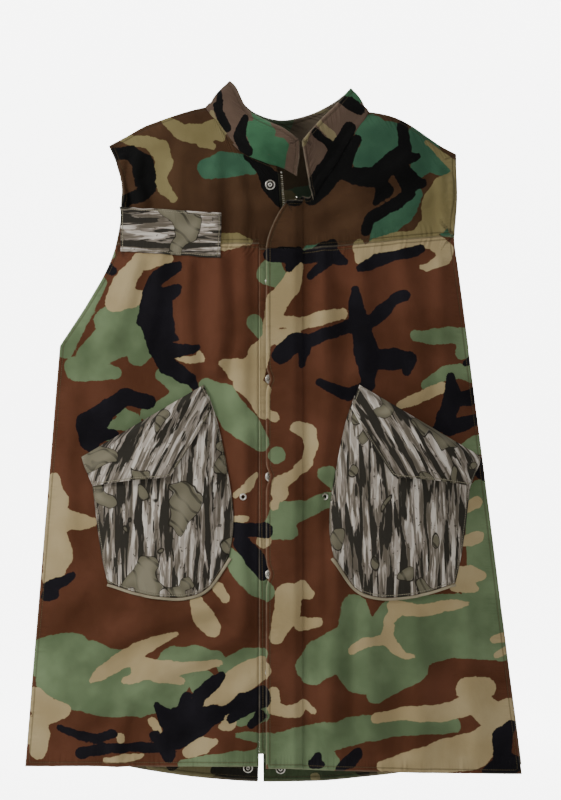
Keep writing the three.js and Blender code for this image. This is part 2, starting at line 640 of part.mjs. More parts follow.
function addPockets() {
  const rest = CLOTH + GAP;
  for (const side of ['right', 'left']) {
    const { sign } = SIDES[side];
    const pouchOffset = (across, down) => rest + pocketPuff(across, down);
    add(`${side}_pocket_pouch`, pocketSheet(side, pocketPlace, pouchOffset, 8, 8), 'bark');
    const crowded = (across, down) => flapPlace(across, down ** FLAP.crowd);
    const height = (across, down) => flapHeight(across, down ** FLAP.crowd);
    add(`${side}_pocket_flap`, pocketSheet(side, crowded, height, 10, 6), 'bark');

    const edging = (across, down) => {
      const [x, z] = pocketPlace(across, 1);
      const [nextX, nextZ] = pocketPlace(Math.min(1, across + 0.01), 1);
      const [lastX, lastZ] = pocketPlace(Math.max(0, across - 0.01), 1);
      const length = Math.hypot(nextX - lastX, nextZ - lastZ);
      const out = 4 * GAP + BINDING_WIDTH * down;
      return [x + (out * (nextZ - lastZ)) / length, z - (out * (nextX - lastX)) / length];
    };
    add(`${side}_pocket_binding`, pocketSheet(side, edging, () => rest, 14, 1), 'binding');

    const across = 0.33;
    const [snapX, z] = flapPlace(across, 0.78);
    const down = (mouthZ(snapX) - z) / pocketDepth(across);
    const puff = pocketPuff(across, down);
    const stud = add(`${side}_pocket_stud`, turned(STUD), 'nickel');
    const at = sign * (snapX + POCKET.shift[side]);
    seat(stud, true, at, z, rest + puff + CLOTH + 3 * GAP);
    const socket = add(`${side}_pocket_socket`, turned(SOCKET), 'nickel');
    seat(socket, true, at, z, flapHeight(across, 0.78) - 4 * GAP - 1.6);
  }
}

function addPatch() {
  const [x0, z0] = PATCH.low;
  const [x1, z1] = PATCH.high;
  const point = (u, v) => {
    const x = lerp(x0, x1, u);
    const z = lerp(z0, z1, v) + PATCH.slope * (x - x0);
    return onBody(true, x, z);
  };
  add('chest_patch', sheet(point, 6, 3, CLOTH + GAP, CLOTH + GAP + 1.2), 'bark');
}

addBack();
addYokes();
addFronts();
addInnerBands();
addCollar();
addStormFlap();
addZip();
addSnaps();
addPockets();
addPatch();

export default vest;
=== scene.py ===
import math

import bpy
import numpy as np
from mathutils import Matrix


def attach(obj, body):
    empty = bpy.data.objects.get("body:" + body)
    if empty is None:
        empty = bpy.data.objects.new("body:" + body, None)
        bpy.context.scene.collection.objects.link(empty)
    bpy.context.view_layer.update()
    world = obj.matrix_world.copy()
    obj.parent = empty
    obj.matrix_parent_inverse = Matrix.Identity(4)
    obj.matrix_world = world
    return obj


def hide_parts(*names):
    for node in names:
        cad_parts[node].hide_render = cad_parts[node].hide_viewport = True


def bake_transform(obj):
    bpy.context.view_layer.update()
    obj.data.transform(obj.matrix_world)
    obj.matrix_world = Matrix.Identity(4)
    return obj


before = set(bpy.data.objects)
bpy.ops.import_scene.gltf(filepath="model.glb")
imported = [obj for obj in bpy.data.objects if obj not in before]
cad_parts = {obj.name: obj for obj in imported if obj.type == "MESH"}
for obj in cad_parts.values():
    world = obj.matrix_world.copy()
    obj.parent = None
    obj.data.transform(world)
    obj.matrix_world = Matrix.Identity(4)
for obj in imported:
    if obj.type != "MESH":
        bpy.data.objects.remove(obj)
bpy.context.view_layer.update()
MM = 0.001

# ---------------------------------------------------------------- dimensions shared with the CAD
CLOTH, FACING, GAP, SEAM, BAND_GAP = 1.6, 1.0, 0.3, 0.5, 0.8
BODY_LENGTH, TAIL_DROP, YOKE_DEPTH, YOKE_SLOPE, FLAP_SEAM_DROP = 945, 31, 188, 0.1, 8.5
SHOULDER_HEIGHT, SHOULDER_ROUND = 12, 30
FRONT_DEPTH, FRONT_FLARE, BACK_DEPTH, BACK_FLARE, FLARE_START = 40, 0.037, 34, 0.032, 140
ARM_LENS, ARM_BLEND = 325, 110
SIDES = {
    "right": {
        "sign": -1,
        "shoulder": [(0, SHOULDER_HEIGHT), (101, 11), (190, -15), (226, -34), (249, -46)],
        "armhole": [(-46, 249), (-90, 233), (-131, 229), (-175, 235), (-215, 247), (-270, 277), (-336, 321)],
        "seam": (321, -336, 0.083),
    },
    "left": {
        "sign": 1,
        "shoulder": [(0, SHOULDER_HEIGHT), (123, 4), (175, -8), (234, -46), (257, -58)],
        "armhole": [(-58, 257), (-124, 257), (-191, 254), (-239, 260), (-296, 268), (-345, 275)],
        "seam": (275, -345, 0.13),
    },
}
NECK_X = {"right": 101, "left": 123}
NECK_FRONT = [(-101, 11), (-84, -20), (-57, -50), (-20, -69), (3, -77), (6, -79)]
NECK_LEFT = [(30, -119), (44, -121), (53, -104), (66, -83), (88, -54), (107, -23), (123, 4)]
NECK_BACK = [(-101, 11), (-72, -24), (-38, -42), (4, -50), (50, -42), (90, -20), (123, 4)]
ZIP_X, ZIP_SPLIT, ZIP_END = 10, 150, 926
CHAIN_WIDTH, TAPE_WIDTH, TAPE_EDGE, PANEL_EDGE, NECK_EDGE = 3.4, 16, 4.4, 5.5, 2.5
CHAIN_TOP = {"right": 84, "left": 120}
UNDERLAP_X, FLAP_EDGE_X, FLAP_HINGE_X, FLAP_RAMP, FLAP_LIFT, FLAP_TOP = -30, -20, 32, 14, 8.5, 126
SNAP_X, SNAP_FIRST, SNAP_PITCH, SNAP_COUNT, SNAP_RADIUS = -14, 104, 141, 6, 7.4
WAIST_DEPTH, CASING_HEIGHT, HEM_HEIGHT = 556, 30, 25
EYELETS = {"right": -53, "left": 65}
EYELET_HOLE = 2.6
TAIL_SPLIT_X, TAIL_SPLIT_WIDTH, TAIL_SPLIT_TOP, TAIL_WIDTH = -28, 8, 880, 250
TAIL_SNAPS = {"right_tail_stud": (-47, -958), "left_tail_stud": (1, -960)}
POCKET = {
    "mouth": (103, -410),
    "mouth_end": (276, -509),
    "inner": [(0, 103), (52, 89), (150, 72), (211, 67), (280, 80)],
    "outer": [(0, 276), (28, 272), (112, 262), (159, 255), (230, 240)],
    "depth": [(0, 250), (0.15, 276), (0.35, 272), (0.6, 250), (0.8, 225), (1, 188)],
    "puff": 17,
    "lift": 4.5,
    "shift": {"right": 0, "left": 5},
}
FLAP = {
    "top": (110, -394),
    "top_end": (288, -499),
    "depth": [(0, 34), (0.1, 57), (0.3, 94), (0.34, 98), (0.6, 75), (1, 42)],
    "taper": (12, 18),
    "rise": 13,
}
PATCH = {"low": (-231, -200), "high": (-86, -134), "slope": -0.075}
BINDING_WIDTH = 4
COLLAR_BASE = [
    (44, -121, 1), (58, -97, 1), (78, -68, 1), (98, -35, 1), (117, -8, 1), (123, 4, 0), (112, -6, 0),
    (86, -24, 0), (48, -42, 0), (4, -50, 0), (-38, -42, 0), (-72, -24, 0), (-93, 0, 0), (-101, 10, 1),
    (-91, -4, 1), (-57, -50, 1), (-20, -69, 1), (3, -77, 1), (24, -90, 1),
]
COLLAR_TOP = [
    (32, -50, -41), (44, -47, -26), (60, -39, -8), (80, -29, 12), (96, -14, 31), (102, 0, 38), (96, 12, 32),
    (76, 22, 18), (42, 28, 2), (2, 31, -6), (-34, 28, 4), (-56, 20, 22), (-68, 9, 42), (-72, -4, 48),
    (-64, -18, 40), (-46, -31, 6), (-18, -38, -11), (6, -41, -22), (28, -41, -39),
]
COLLAR_STAND_OFF = 4
COLLAR_TUCK = 0.12  # share of the stand that lies over the neckline

# The front panels hang from the yoke seam. Heights on them: the storm flap splits at BEND_END, and the snaps are
# grouped by BEND_END and FLAP_BEND_END.
BEND_TOP, BEND_END, FLAP_BEND_END = -192, -388, -520

# ---------------------------------------------------------------- the camera comes first
CAMERA_DISTANCE, VIEW_HEIGHT, VIEW_CENTRE = 6.0, 1.168, (0.001, -0.416)
camera = bpy.data.cameras.new("camera")
camera_object = bpy.data.objects.new("camera", camera)
bpy.context.collection.objects.link(camera_object)
bpy.context.scene.camera = camera_object
camera.sensor_width = 36
camera.lens = camera.sensor_width * CAMERA_DISTANCE / VIEW_HEIGHT
camera_object.location = (VIEW_CENTRE[0], -CAMERA_DISTANCE, VIEW_CENTRE[1])
camera_object.rotation_euler = (math.radians(90), 0, 0)


# ---------------------------------------------------------------- small maths on arrays
FAR = 1e3


def mix(a, b, t):
    return a + (b - a) * t


def smooth(t):
    s = np.clip(t, 0, 1)
    return s * s * (3 - 2 * s)


def curve(points):
    """A smooth curve of value against position through (position, value) points."""
    rows = np.array(sorted(points), float)
    place, value = rows[:, 0], rows[:, 1]
    index = np.arange(len(rows))
    before, after = np.maximum(index - 1, 0), np.minimum(index + 1, len(rows) - 1)
    slope = (value[after] - value[before]) / (place[after] - place[before])

    def at(position):
        q = np.clip(np.asarray(position, float), place[0], place[-1])
        i = np.clip(np.searchsorted(place, q), 1, len(place) - 1)
        width = place[i] - place[i - 1]
        t = (q - place[i - 1]) / width
        start = (1 + 2 * t) * (1 - t) ** 2 * value[i - 1] + t * (1 - t) ** 2 * width * slope[i - 1]
        return start + t * t * (3 - 2 * t) * value[i] + t * t * (t - 1) * width * slope[i]

    return at


def loop_curve(points):
    """A Catmull-Rom curve through 3-D points, open, run from 0 to 1."""
    p = np.array(points, float)
    p = np.vstack([2 * p[0] - p[1], p, 2 * p[-1] - p[-2]])

    def at(t):
        s = np.clip(np.asarray(t, float), 0, 1) * (len(p) - 3)
        i = np.minimum(s.astype(int), len(p) - 4)
        f = (s - i)[..., None]
        a, b, c, d = p[i], p[i + 1], p[i + 2], p[i + 3]
        cubic = (2 * a - 5 * b + 4 * c - d) * f * f + (3 * b - a - 3 * c + d) * f ** 3
        return 0.5 * (2 * b + (c - a) * f + cubic)

    return at


def ripple(x, z, size, seed):
    """Smooth noise from -1 to 1 with features about size across, the same on every run."""
    rng = np.random.default_rng(seed)
    total = 0
    for _ in range(7):
        angle, phase = rng.uniform(0, 2 * math.pi, 2)
        k = 2 * math.pi / (size * rng.uniform(1.2, 3.2))
        total = total + np.sin(k * (x * math.cos(angle) + z * math.sin(angle)) + phase)
    return total / 4.2


def stroke_distance(x, z, stroke):
    """How far inside a stroke of (x, z, radius) points each place is; outside is negative."""
    best = np.full(np.shape(x), -FAR)
    rows = stroke if len(stroke) > 1 else [stroke[0], stroke[0]]
    for (x0, z0, r0), (x1, z1, r1) in zip(rows, rows[1:]):
        dx, dz = x1 - x0, z1 - z0
        span = dx * dx + dz * dz
        t = np.clip(((x - x0) * dx + (z - z0) * dz) / span, 0, 1) if span else 0 * x
        best = np.maximum(best, mix(r0, r1, t) - np.hypot(x - x0 - t * dx, z - z0 - t * dz))
    return best


# ---------------------------------------------------------------- the draped body surface
shoulder_line = {s: curve(SIDES[s]["shoulder"]) for s in SIDES}
armhole_edge = {s: curve(SIDES[s]["armhole"]) for s in SIDES}
neckline = {"right": curve(NECK_FRONT), "left": curve(NECK_LEFT), "back": curve(NECK_BACK)}


def by_side(x, right, left):
    return np.where(x < 0, right, left)


def seam_x(side, z):
    x, top, slope = SIDES[side]["seam"]
    return x + (top - z) * slope


def edge_x(side, z):
    return np.where(z > SIDES[side]["seam"][1], armhole_edge[side](z), seam_x(side, z))


def lens_half(side, z):
    armpit = SIDES[side]["seam"][1]
    return mix(seam_x(side, np.minimum(z, armpit)), ARM_LENS, smooth((z - armpit) / ARM_BLEND))


# Folds of the hanging cloth: ridge lines of (x, z, half width) points, then the height.
FRONT_FOLDS = [
    ([(-132, -216, 7), (-136, -300, 12), (-128, -380, 10)], 5.0),
    ([(-88, -214, 8), (-84, -300, 13), (-92, -372, 10)], 5.5),
    ([(-52, -205, 7), (-50, -300, 12), (-58, -420, 12)], 4.5),
    ([(-205, -215, 8), (-222, -262, 14), (-250, -330, 16)], 4.5),
    ([(-172, -206, 6), (-180, -262, 10), (-196, -330, 12)], 3.5),
    ([(-262, -262, 7), (-296, -330, 12), (-306, -420, 12)], 3.5),
    ([(-300, -470, 10), (-318, -540, 14), (-306, -640, 12)], 4.5),
    ([(-52, -470, 10), (-50, -560, 10), (-56, -640, 12), (-48, -740, 12)], 4.0),
    ([(-100, -715, 10), (-200, -742, 18), (-300, -792, 18), (-350, -830, 10)], 7.0),
    ([(-60, -755, 10), (-140, -792, 17), (-230, -842, 18), (-300, -890, 12)], 6.0),
    ([(-40, -830, 9), (-100, -858, 14), (-170, -905, 14)], 5.0),
    ([(-290, -700, 10), (-330, -740, 14), (-352, -800, 12)], 4.5),
    ([(-220, -860, 8), (-235, -900, 12), (-238, -938, 10)], 4.0),
    ([(62, -205, 7), (66, -300, 12), (74, -400, 12), (62, -520, 10)], 4.5),
    ([(48, -400, 7), (50, -520, 9), (54, -640, 10), (50, -740, 10)], 4.0),
    ([(78, -610, 6), (82, -720, 12), (76, -800, 14), (74, -880, 10)], 6.5),
    ([(44, -770, 6), (42, -840, 8), (44, -920, 8)], 4.0),
    ([(128, -725, 10), (126, -800, 16), (132, -900, 16)], 4.5),
    ([(196, -735, 12), (206, -830, 18), (200, -930, 16)], 4.5),
    ([(270, -720, 12), (282, -820, 18), (292, -920, 16)], 5.0),
    ([(118, -215, 8), (122, -300, 14), (118, -380, 10)], 3.5),
    ([(178, -200, 10), (190, -300, 16), (206, -400, 12)], 4.0),
    ([(232, -215, 8), (238, -300, 12), (252, -420, 12), (282, -500, 10)], 3.5),
    ([(-92, -60, 8), (-96, -110, 12), (-92, -172, 8)], 4.0),
    ([(-60, -92, 8), (-52, -140, 10), (-58, -190, 8)], 3.5),
    ([(-140, -45, 8), (-150, -90, 10), (-146, -125, 8)], 2.5),
    ([(-205, -60, 6), (-212, -95, 9), (-200, -128, 7)], 6.0),
    ([(-228, -62, 4), (-232, -100, 6), (-226, -132, 4)], 6.0),
    ([(50, -150, 8), (120, -112, 14), (190, -70, 12)], 3.0),
    ([(232, -82, 7), (238, -120, 9), (242, -168, 8)], 4.5),
    ([(250, -95, 4), (252, -130, 5), (254, -165, 4)], 4.0),
    ([(90, -170, 8), (160, -150, 12), (215, -120, 8)], 2.5),
]
FOLD_GAIN = 1.7
# Folds fade out beside the zip and along the sewn edge of each pocket flap, so that hinged cloth lies flat.
HELD_AT_ZIP, HELD_BAND = 34, 26


def drape(front, x, z):
    """How far folds lift the cloth off the plain body surface."""
    if front:
        lift = 0
        for ridge, height in FRONT_FOLDS:
            inside = stroke_distance(x, z, ridge)
            radius = np.mean([r for _, _, r in ridge])
            reach = np.maximum(0, radius - inside) / (1.25 * radius)
            lift = lift + FOLD_GAIN * height * np.exp(-(reach**2))
        below = smooth((-z - 185) / 60)
        lift = lift + below * (2.2 * ripple(x, 0.3 * z, 26, 3) + 2.5 * ripple(x, z, 90, 5))
        lift = lift + (1 - below) * 1.2 * ripple(x, 0.6 * z, 40, 8)
        waist = np.exp(-(((z + WAIST_DEPTH) / 22) ** 2))
        lift = lift - waist * (2.5 - 1.6 * ripple(x, 0, 9, 11))
        hem = smooth((-z - BODY_LENGTH + 62) / 40)
        lift = lift + hem * 1.0 * ripple(x, 0.12 * z, 7, 13)
        held = smooth((np.abs(x - 6) - HELD_AT_ZIP) / HELD_BAND)
        for sign, shift in ((-1, POCKET["shift"]["right"]), (1, POCKET["shift"]["left"])):
            sewn = [(sign * (px + shift), pz, 0) for px, pz in (FLAP["top"], FLAP["top_end"])]
            held = held * smooth((-stroke_distance(x, z, sewn) - 6) / 20)
        return lift * held
    below = smooth((-z - 185) / 60)
    folds = 5.0 * ripple(x, 0.25 * z, 44, 21) + 3.0 * ripple(x, 0.8 * z, 70, 22)
    waist = np.exp(-(((z + WAIST_DEPTH) / 22) ** 2))
    lift = below * folds + (1 - below) * 1.5 * ripple(x, 0.5 * z, 50, 23)
    gather = smooth((-z - BODY_LENGTH + 25) / 20)
    return lift - waist * (2.5 - 1.5 * ripple(x, 0, 9, 24)) + gather * 1.4 * ripple(x, 0.1 * z, 6.5, 25)


def body_y(front, x, z, draped=True):
    u = np.clip(np.abs(x) / by_side(x, lens_half("right", z), lens_half("left", z)), 0, 1)
    flare = np.maximum(0, -z - FLARE_START)
    depth = FRONT_DEPTH + FRONT_FLARE * flare if front else BACK_DEPTH + BACK_FLARE * flare
    ridge = by_side(x, shoulder_line["right"](np.abs(x)), shoulder_line["left"](np.abs(x)))
    turn = 1 - np.exp(-np.maximum(0, ridge - z) / SHOULDER_ROUND)
    out = depth * (1 - u * u) * turn
    if draped:
        out = out + drape(front, x, z) * (1 - u**8) * turn**2
    return -out if front else out


def on_body(front, x, z, draped=True):
    x, z = np.broadcast_arrays(np.asarray(x, float), np.asarray(z, float))
    return np.stack([x, body_y(front, x, z, draped), z], -1)


def level(value):
    """A straight line: the same value wherever it is asked for."""
    return lambda at: value + 0 * at


def unit(v):
    return v / np.maximum(np.linalg.norm(v, axis=-1, keepdims=True), 1e-9)


def body_normal(front, x, z):
    step = 0.5
    across = on_body(front, x + step, z, False) - on_body(front, x - step, z, False)
    up = on_body(front, x, z + step, False) - on_body(front, x, z - step, False)
    return unit(np.cross(across, up)) * (1 if front else -1)


# ---------------------------------------------------------------- the camouflage print
# Each stroke is a chain of (x, z, radius), judged and laid out one by one. The ground is brown; green,
# tan and black lie over it.
PRINT_AND_SHADE = {
    "tan": [
        [(-165, -10, 7), (-140, -28, 12), (-110, -30, 14), (-92, -22, 15), (-84, -38, 4)],
        [(-112, -42, 8), (-97, -49, 4)],
        [(-230, -36, 4), (-192, -42, 9), (-174, -52, 13), (-166, -70, 12), (-176, -92, 9), (-166, -110, 9),
         (-155, -122, 6)],
        [(-82, -187, 12), (-64, -184, 11), (-44, -187, 3)],
        [(214, -42, 2), (235, -60, 5), (252, -74, 7)],
        [(250, -92, 8), (236, -104, 12), (224, -130, 18), (226, -158, 18), (204, -172, 8)],
        [(250, -100, 9), (252, -168, 7)],
        [(114, -190, 8), (118, -210, 9), (140, -195, 14), (180, -183, 12), (222, -182, 12), (241, -196, 11),
         (240, -211, 8), (214, -223, 5), (205, -223, 2)],
        [(25, -225, 10), (14, -252, 13), (-5, -275, 14), (-12, -308, 12), (-15, -330, 7)],
        [(0, -302, 8), (30, -305, 9), (62, -297, 9), (90, -291, 7)], [(0, -325, 11), (20, -318, 8)],
        [(-204, -216, 12), (-180, -212, 10), (-164, -211, 7)],
        [(-212, -225, 12), (-228, -250, 16), (-240, -274, 14), (-214, -268, 12), (-198, -262, 4)],
        [(-152, -352, 3), (-132, -358, 4), (-114, -356, 5), (-117, -348, 4)],
        [(-84, -362, 5), (-62, -372, 16), (-40, -378, 18), (-30, -350, 15), (-20, -332, 9)],
        [(-52, -392, 14), (-32, -405, 18), (-24, -436, 8)],
        [(-34, -524, 3), (-46, -541, 7), (-64, -554, 4)], [(-62, -590, 7), (-50, -588, 5)], [(-24, -620, 10)],
        [(-330, -532, 8), (-322, -560, 13), (-334, -600, 20), (-322, -640, 20), (-330, -672, 16)],
        [(-310, -590, 14), (-272, -594, 7)],
        [(-88, -688, 7), (-79, -702, 5)], [(-120, -710, 9), (-110, -730, 14), (-97, -746, 12)],
        [(-150, -755, 4), (-180, -766, 8), (-210, -782, 12), (-240, -800, 12), (-262, -816, 7), (-275, -824, 2)],
        [(-204, -800, 12), (-170, -804, 10), (-138, -803, 7), (-110, -798, 6), (-86, -795, 3)],
        [(-192, -812, 9), (-160, -816, 9), (-142, -822, 4)], [(-196, -812, 9), (-226, -824, 4)],
        [(-358, -850, 14), (-342, -868, 20), (-318, -868, 12)],
        [(-366, -900, 20), (-350, -904, 16), (-352, -928, 12)],
        [(-28, -794, 8), (-58, -814, 14), (-90, -838, 12), (-116, -866, 4)],
        [(-28, -806, 14), (-66, -838, 10)], [(-74, -858, 13), (-72, -884, 9), (-84, -888, 4)],
        [(-132, -926, 9), (-114, -915, 13), (-94, -911, 5)],
        [(-184, -880, 5), (-174, -896, 4)], [(-230, -904, 5), (-230, -910, 4)],
        [(-252, -939, 2), (-225, -935, 5), (-200, -931, 2)],
        [(176, -422, 6), (202, -412, 8), (236, -398, 7)],
        [(24, -456, 8), (42, -463, 10), (46, -482, 9), (40, -504, 8), (20, -524, 7), (-2, -538, 10), (0, -552, 11)],
        [(-8, -441, 6), (-14, -438, 5)], [(-8, -568, 6)],
        [(286, -566, 8), (268, -576, 6)], [(266, -622, 7), (290, -616, 8)],
        [(248, -676, 12), (276, -670, 12), (292, -672, 7)], [(252, -690, 5), (282, -690, 5)],
        [(12, -698, 18), (8, -730, 17), (-4, -757, 10)], [(30, -690, 13), (44, -697, 7)],
        [(28, -740, 8), (56, -737, 6)],
        [(164, -714, 8), (200, -722, 8), (240, -715, 7), (272, -713, 3)],
        [(170, -720, 7), (158, -736, 7), (155, -760, 8), (166, -775, 8), (182, -787, 4), (192, -787, 2)],
        [(152, -762, 7), (122, -767, 6), (104, -778, 5)], [(118, -692, 6), (132, -695, 5)],
        [(312, -765, 4), (335, -760, 6)], [(315, -788, 3), (335, -779, 5)],
        [(-10, -840, 10), (-8, -860, 8), (10, -865, 8), (25, -865, 9), (34, -855, 6), (49, -865, 4)],
        [(140, -875, 7), (180, -870, 9), (232, -870, 12), (272, -860, 14), (290, -840, 18)],
        [(270, -834, 14), (300, -834, 14)], [(296, -866, 18), (322, -880, 18), (332, -866, 14)],
        [(318, -898, 18), (282, -926, 26), (226, -936, 23), (176, -942, 13), (148, -946, 6)],
    ],
    "green": [
        [(-105, -80, 12), (-80, -75, 17), (-55, -76, 13), (-42, -80, 8)], [(-247, -78, 5), (-247, -206, 4)],
        [(132, -24, 20), (150, -44, 21), (124, -66, 16)], [(160, -30, 16), (176, -40, 8)],
        [(200, -30, 12), (214, -58, 18), (198, -84, 9)], [(214, -60, 16), (238, -76, 12)],
        [(198, -118, 8), (176, -145, 14), (150, -165, 14), (136, -184, 5)], [(240, -167, 9), (252, -172, 6)],
        [(-262, -245, 8), (-290, -300, 10), (-312, -340, 12)],
        [(-250, -300, 18), (-212, -292, 12), (-218, -325, 22), (-252, -334, 24), (-276, -352, 18)],
        [(-204, -350, 14), (-190, -342, 10)], [(-296, -370, 15), (-240, -377, 7)],
        [(-172, -378, 6), (-150, -390, 14), (-140, -408, 12), (-170, -425, 7), (-192, -436, 7)],
        [(-232, -432, 6), (-216, -448, 12), (-246, -452, 3)], [(-262, -460, 5), (-250, -470, 4)],
        [(-106, -394, 8), (-82, -412, 18), (-66, -440, 20), (-48, -454, 18), (-28, -478, 10)],
        [(-72, -640, 8), (-56, -660, 14), (-34, -682, 14), (-20, -694, 10)], [(-37, -304, 9), (-26, -322, 4)],
        [(196, -323, 4), (222, -324, 9), (252, -321, 10), (272, -326, 13)], [(266, -346, 9)],
        [(212, -395, 4), (236, -378, 8), (262, -374, 8), (282, -380, 9)], [(252, -500, 6), (290, -480, 12)],
        [(-12, -232, 18), (2, -244, 10)], [(44, -202, 8), (62, -194, 3)], [(-4, -496, 9)],
        [(68, -524, 10), (84, -540, 8)],
        [(68, -560, 9), (42, -572, 8), (6, -582, 18), (-6, -600, 14), (14, -606, 10)],
        [(300, -556, 24), (300, -610, 28), (304, -660, 28), (296, -700, 28)],
        [(108, -718, 18), (112, -760, 28), (62, -790, 26), (48, -802, 22)],
        [(120, -800, 38), (180, -752, 48), (252, -744, 44), (310, -760, 32)], [(140, -840, 12), (182, -800, 30)],
        [(316, -700, 22), (322, -780, 14)],
        [(-12, -920, 18), (40, -910, 22), (82, -900, 18), (122, -890, 17), (160, -890, 12), (204, -886, 11),
         (252, -888, 8)], [(0, -940, 14), (66, -936, 16)],
        [(-342, -780, 16), (-300, -778, 22), (-330, -820, 24), (-290, -834, 30), (-250, -842, 30), (-202, -846, 26),
         (-164, -838, 24), (-150, -800, 26), (-122, -786, 14), (-92, -788, 8)],
        [(-350, -806, 14)], [(-272, -796, 26), (-224, -800, 18)], [(-80, -800, 8), (-50, -785, 8), (-26, -783, 6)],
        [(-112, -826, 16)], [(-58, -876, 9), (-30, -868, 12)],
        [(-140, -942, 5), (-60, -934, 9), (-28, -932, 9)], [(60, -915, 12), (-60, -900, 2)],
    ],
    "black": [
        [(-240, -58, 7), (-216, -58, 9), (-198, -72, 13), (-196, -95, 13), (-184, -106, 4)],
        [(-242, -72, 6), (-237, -98, 4)], [(-228, -126, 6), (-202, -120, 8), (-190, -110, 8)],
        [(-244, -132, 7), (-228, -134, 5)], [(-48, -63, 3), (-26, -80, 8), (-10, -102, 15), (0, -126, 9)],
        [(14, -108, 17), (20, -122, 12), (34, -100, 8)],
        # painted shade: this black stroke is the shadow under the collar on the left front, not print
        [(112, -38, 5), (90, -74, 12), (62, -106, 13), (46, -124, 7)],
        [(178, -20, 7), (182, -50, 8), (166, -70, 12), (140, -92, 13), (108, -92, 11), (84, -86, 6)],
        [(166, -70, 12), (188, -98, 14), (206, -102, 6)], [(201, -62, 3), (182, -68, 7)],
        [(152, -112, 12), (140, -128, 4)], [(188, -118, 8), (152, -140, 7), (130, -155, 6), (124, -172, 6)],
        [(115, -226, 4), (140, -214, 8), (166, -207, 6), (186, -203, 7), (204, -196, 5)],
        [(-14, -206, 8), (22, -206, 11), (14, -224, 6)], [(38, -210, 8), (66, -200, 12), (76, -190, 6)],
        [(70, -205, 11), (96, -216, 3)], [(70, -212, 7), (44, -236, 4)],
        [(110, -256, 4), (110, -275, 8), (115, -300, 12), (125, -340, 16), (128, -396, 8)],
        [(134, -300, 8), (150, -286, 8), (166, -270, 6), (181, -265, 6)],
        [(120, -306, 9), (96, -311, 8), (70, -319, 7), (46, -329, 8), (22, -333, 12), (0, -352, 11)],
        [(34, -340, 9), (32, -365, 3)], [(140, -356, 13), (166, -358, 15), (188, -357, 9), (184, -374, 6)],
        [(57, -390, 3), (76, -400, 6), (100, -407, 8), (118, -398, 5)],
        [(248, -382, 4), (251, -402, 9), (248, -426, 12), (236, -450, 9), (225, -461, 4)],
        [(255, -416, 9), (276, -413, 10), (288, -405, 8)], [(246, -456, 11), (270, -450, 8), (290, -443, 6)],
        [(270, -362, 3), (282, -355, 4)], [(270, -500, 4), (300, -520, 14)],
        [(300, -956, 5), (324, -944, 14), (340, -948, 12)], [(336, -892, 6), (324, -908, 14), (322, -930, 12)],
        [(55, -930, 4), (48, -941, 6), (60, -943, 4)], [(112, -925, 6), (102, -938, 9), (86, -948, 3)],
        [(-148, -222, 5), (-165, -230, 9), (-180, -242, 8), (-188, -262, 10), (-190, -290, 13), (-200, -302, 8)],
        [(-186, -308, 15), (-176, -332, 15), (-160, -345, 11), (-130, -343, 6), (-120, -341, 3)],
        [(-170, -266, 11), (-152, -258, 8), (-145, -252, 3)], [(-168, -280, 11), (-160, -324, 7), (-149, -328, 3)],
        [(-176, -345, 12), (-165, -366, 10), (-146, -376, 10), (-130, -386, 7), (-122, -399, 3)],
        [(-190, -418, 9), (-225, -412, 11), (-250, -430, 13), (-276, -452, 19), (-276, -472, 16), (-270, -486, 7)],
        [(-276, -470, 12), (-240, -466, 4)], [(-252, -222, 8), (-243, -228, 5)],
        [(-64, -604, 10), (-20, -604, 9)], [(-54, -624, 11), (-36, -645, 14), (-24, -668, 7)],
        [(-335, -690, 8), (-316, -681, 7), (-304, -671, 4)], [(-342, -702, 6), (-326, -700, 5)],
        [(-84, -815, 4), (-100, -830, 9), (-116, -845, 9), (-128, -866, 3)],
        [(-134, -844, 5), (-140, -866, 8), (-160, -880, 12), (-172, -866, 7), (-178, -858, 4)],
        [(-96, -870, 13), (-126, -886, 20), (-150, -902, 18), (-166, -912, 12), (-160, -930, 9)],
        [(-80, -863, 4), (-52, -850, 9), (-24, -840, 10)], [(-24, -848, 10), (-50, -866, 5), (-70, -878, 4)],
        [(-28, -872, 7), (-42, -885, 4)], [(-176, -918, 6), (-220, -919, 5), (-262, -922, 7), (-288, -930, 7)],
        [(-320, -893, 2), (-290, -902, 6), (-266, -908, 6), (-242, -900, 5)], [(-180, -902, 6)],
    ],
}
COLLAR_PRINT = {
    "tan": [[(56, -14, 3), (72, -30, 6), (86, -52, 4)], [(-98, 2, 2), (-82, -34, 4)], [(40, -20, 5), (32, -44, 4)]],
    "green": [
        [(-40, -22, 9), (-26, -44, 12), (0, -50, 10), (-4, -74, 9)], [(-36, -62, 9), (-12, -74, 8)],
        [(-34, 2, 5), (-18, -28, 9)], [(84, 28, 5), (96, 34, 6), (112, 20, 4)],
    ],
    "black": [
        [(-92, 14, 3), (-84, -8, 6), (-76, -20, 5)], [(-50, -8, 4), (-58, -34, 7), (-48, -56, 6)],
        [(82, 24, 4), (100, 16, 8), (116, 6, 7)], [(50, -28, 4), (70, -44, 4), (78, -58, 3)],
        [(-86, 30, 3), (-88, 10, 4)], [(100, -22, 7), (80, -58, 10), (60, -90, 12), (44, -118, 10)],
    ],
}
TAIL_PRINT = {
    "tan": [[(-190, -950, 7), (-120, -962, 13), (-60, -948, 10)], [(150, -960, 8), (190, -952, 6)], [(52, -972, 6)]],
    "green": [[(-40, -960, 24), (100, -962, 22)], [(-230, -940, 10), (-180, -945, 8)]],
    "black": [[(-152, -948, 7), (-160, -956, 5)], [(-96, -962, 5), (-66, -966, 11), (-40, -968, 12)],
              [(110, -955, 4), (126, -968, 6)]],
}
GROW = {"tan": 1.0, "green": 3.0, "black": 1.8}  # dye spreads a little past each stroke
TAIL_PRINT_TOP, TAIL_SHADE_TOP, COLLAR_PRINT_BACK = -900, -915, 12
SEED = {"back_panel": 40, "back_yoke": 60, "collar": 80, "patch": 23.0}
REACH, BEND_SIZE, BEND_REACH = 34, 42, 24  # of the scattered print, which is noise bent by noise


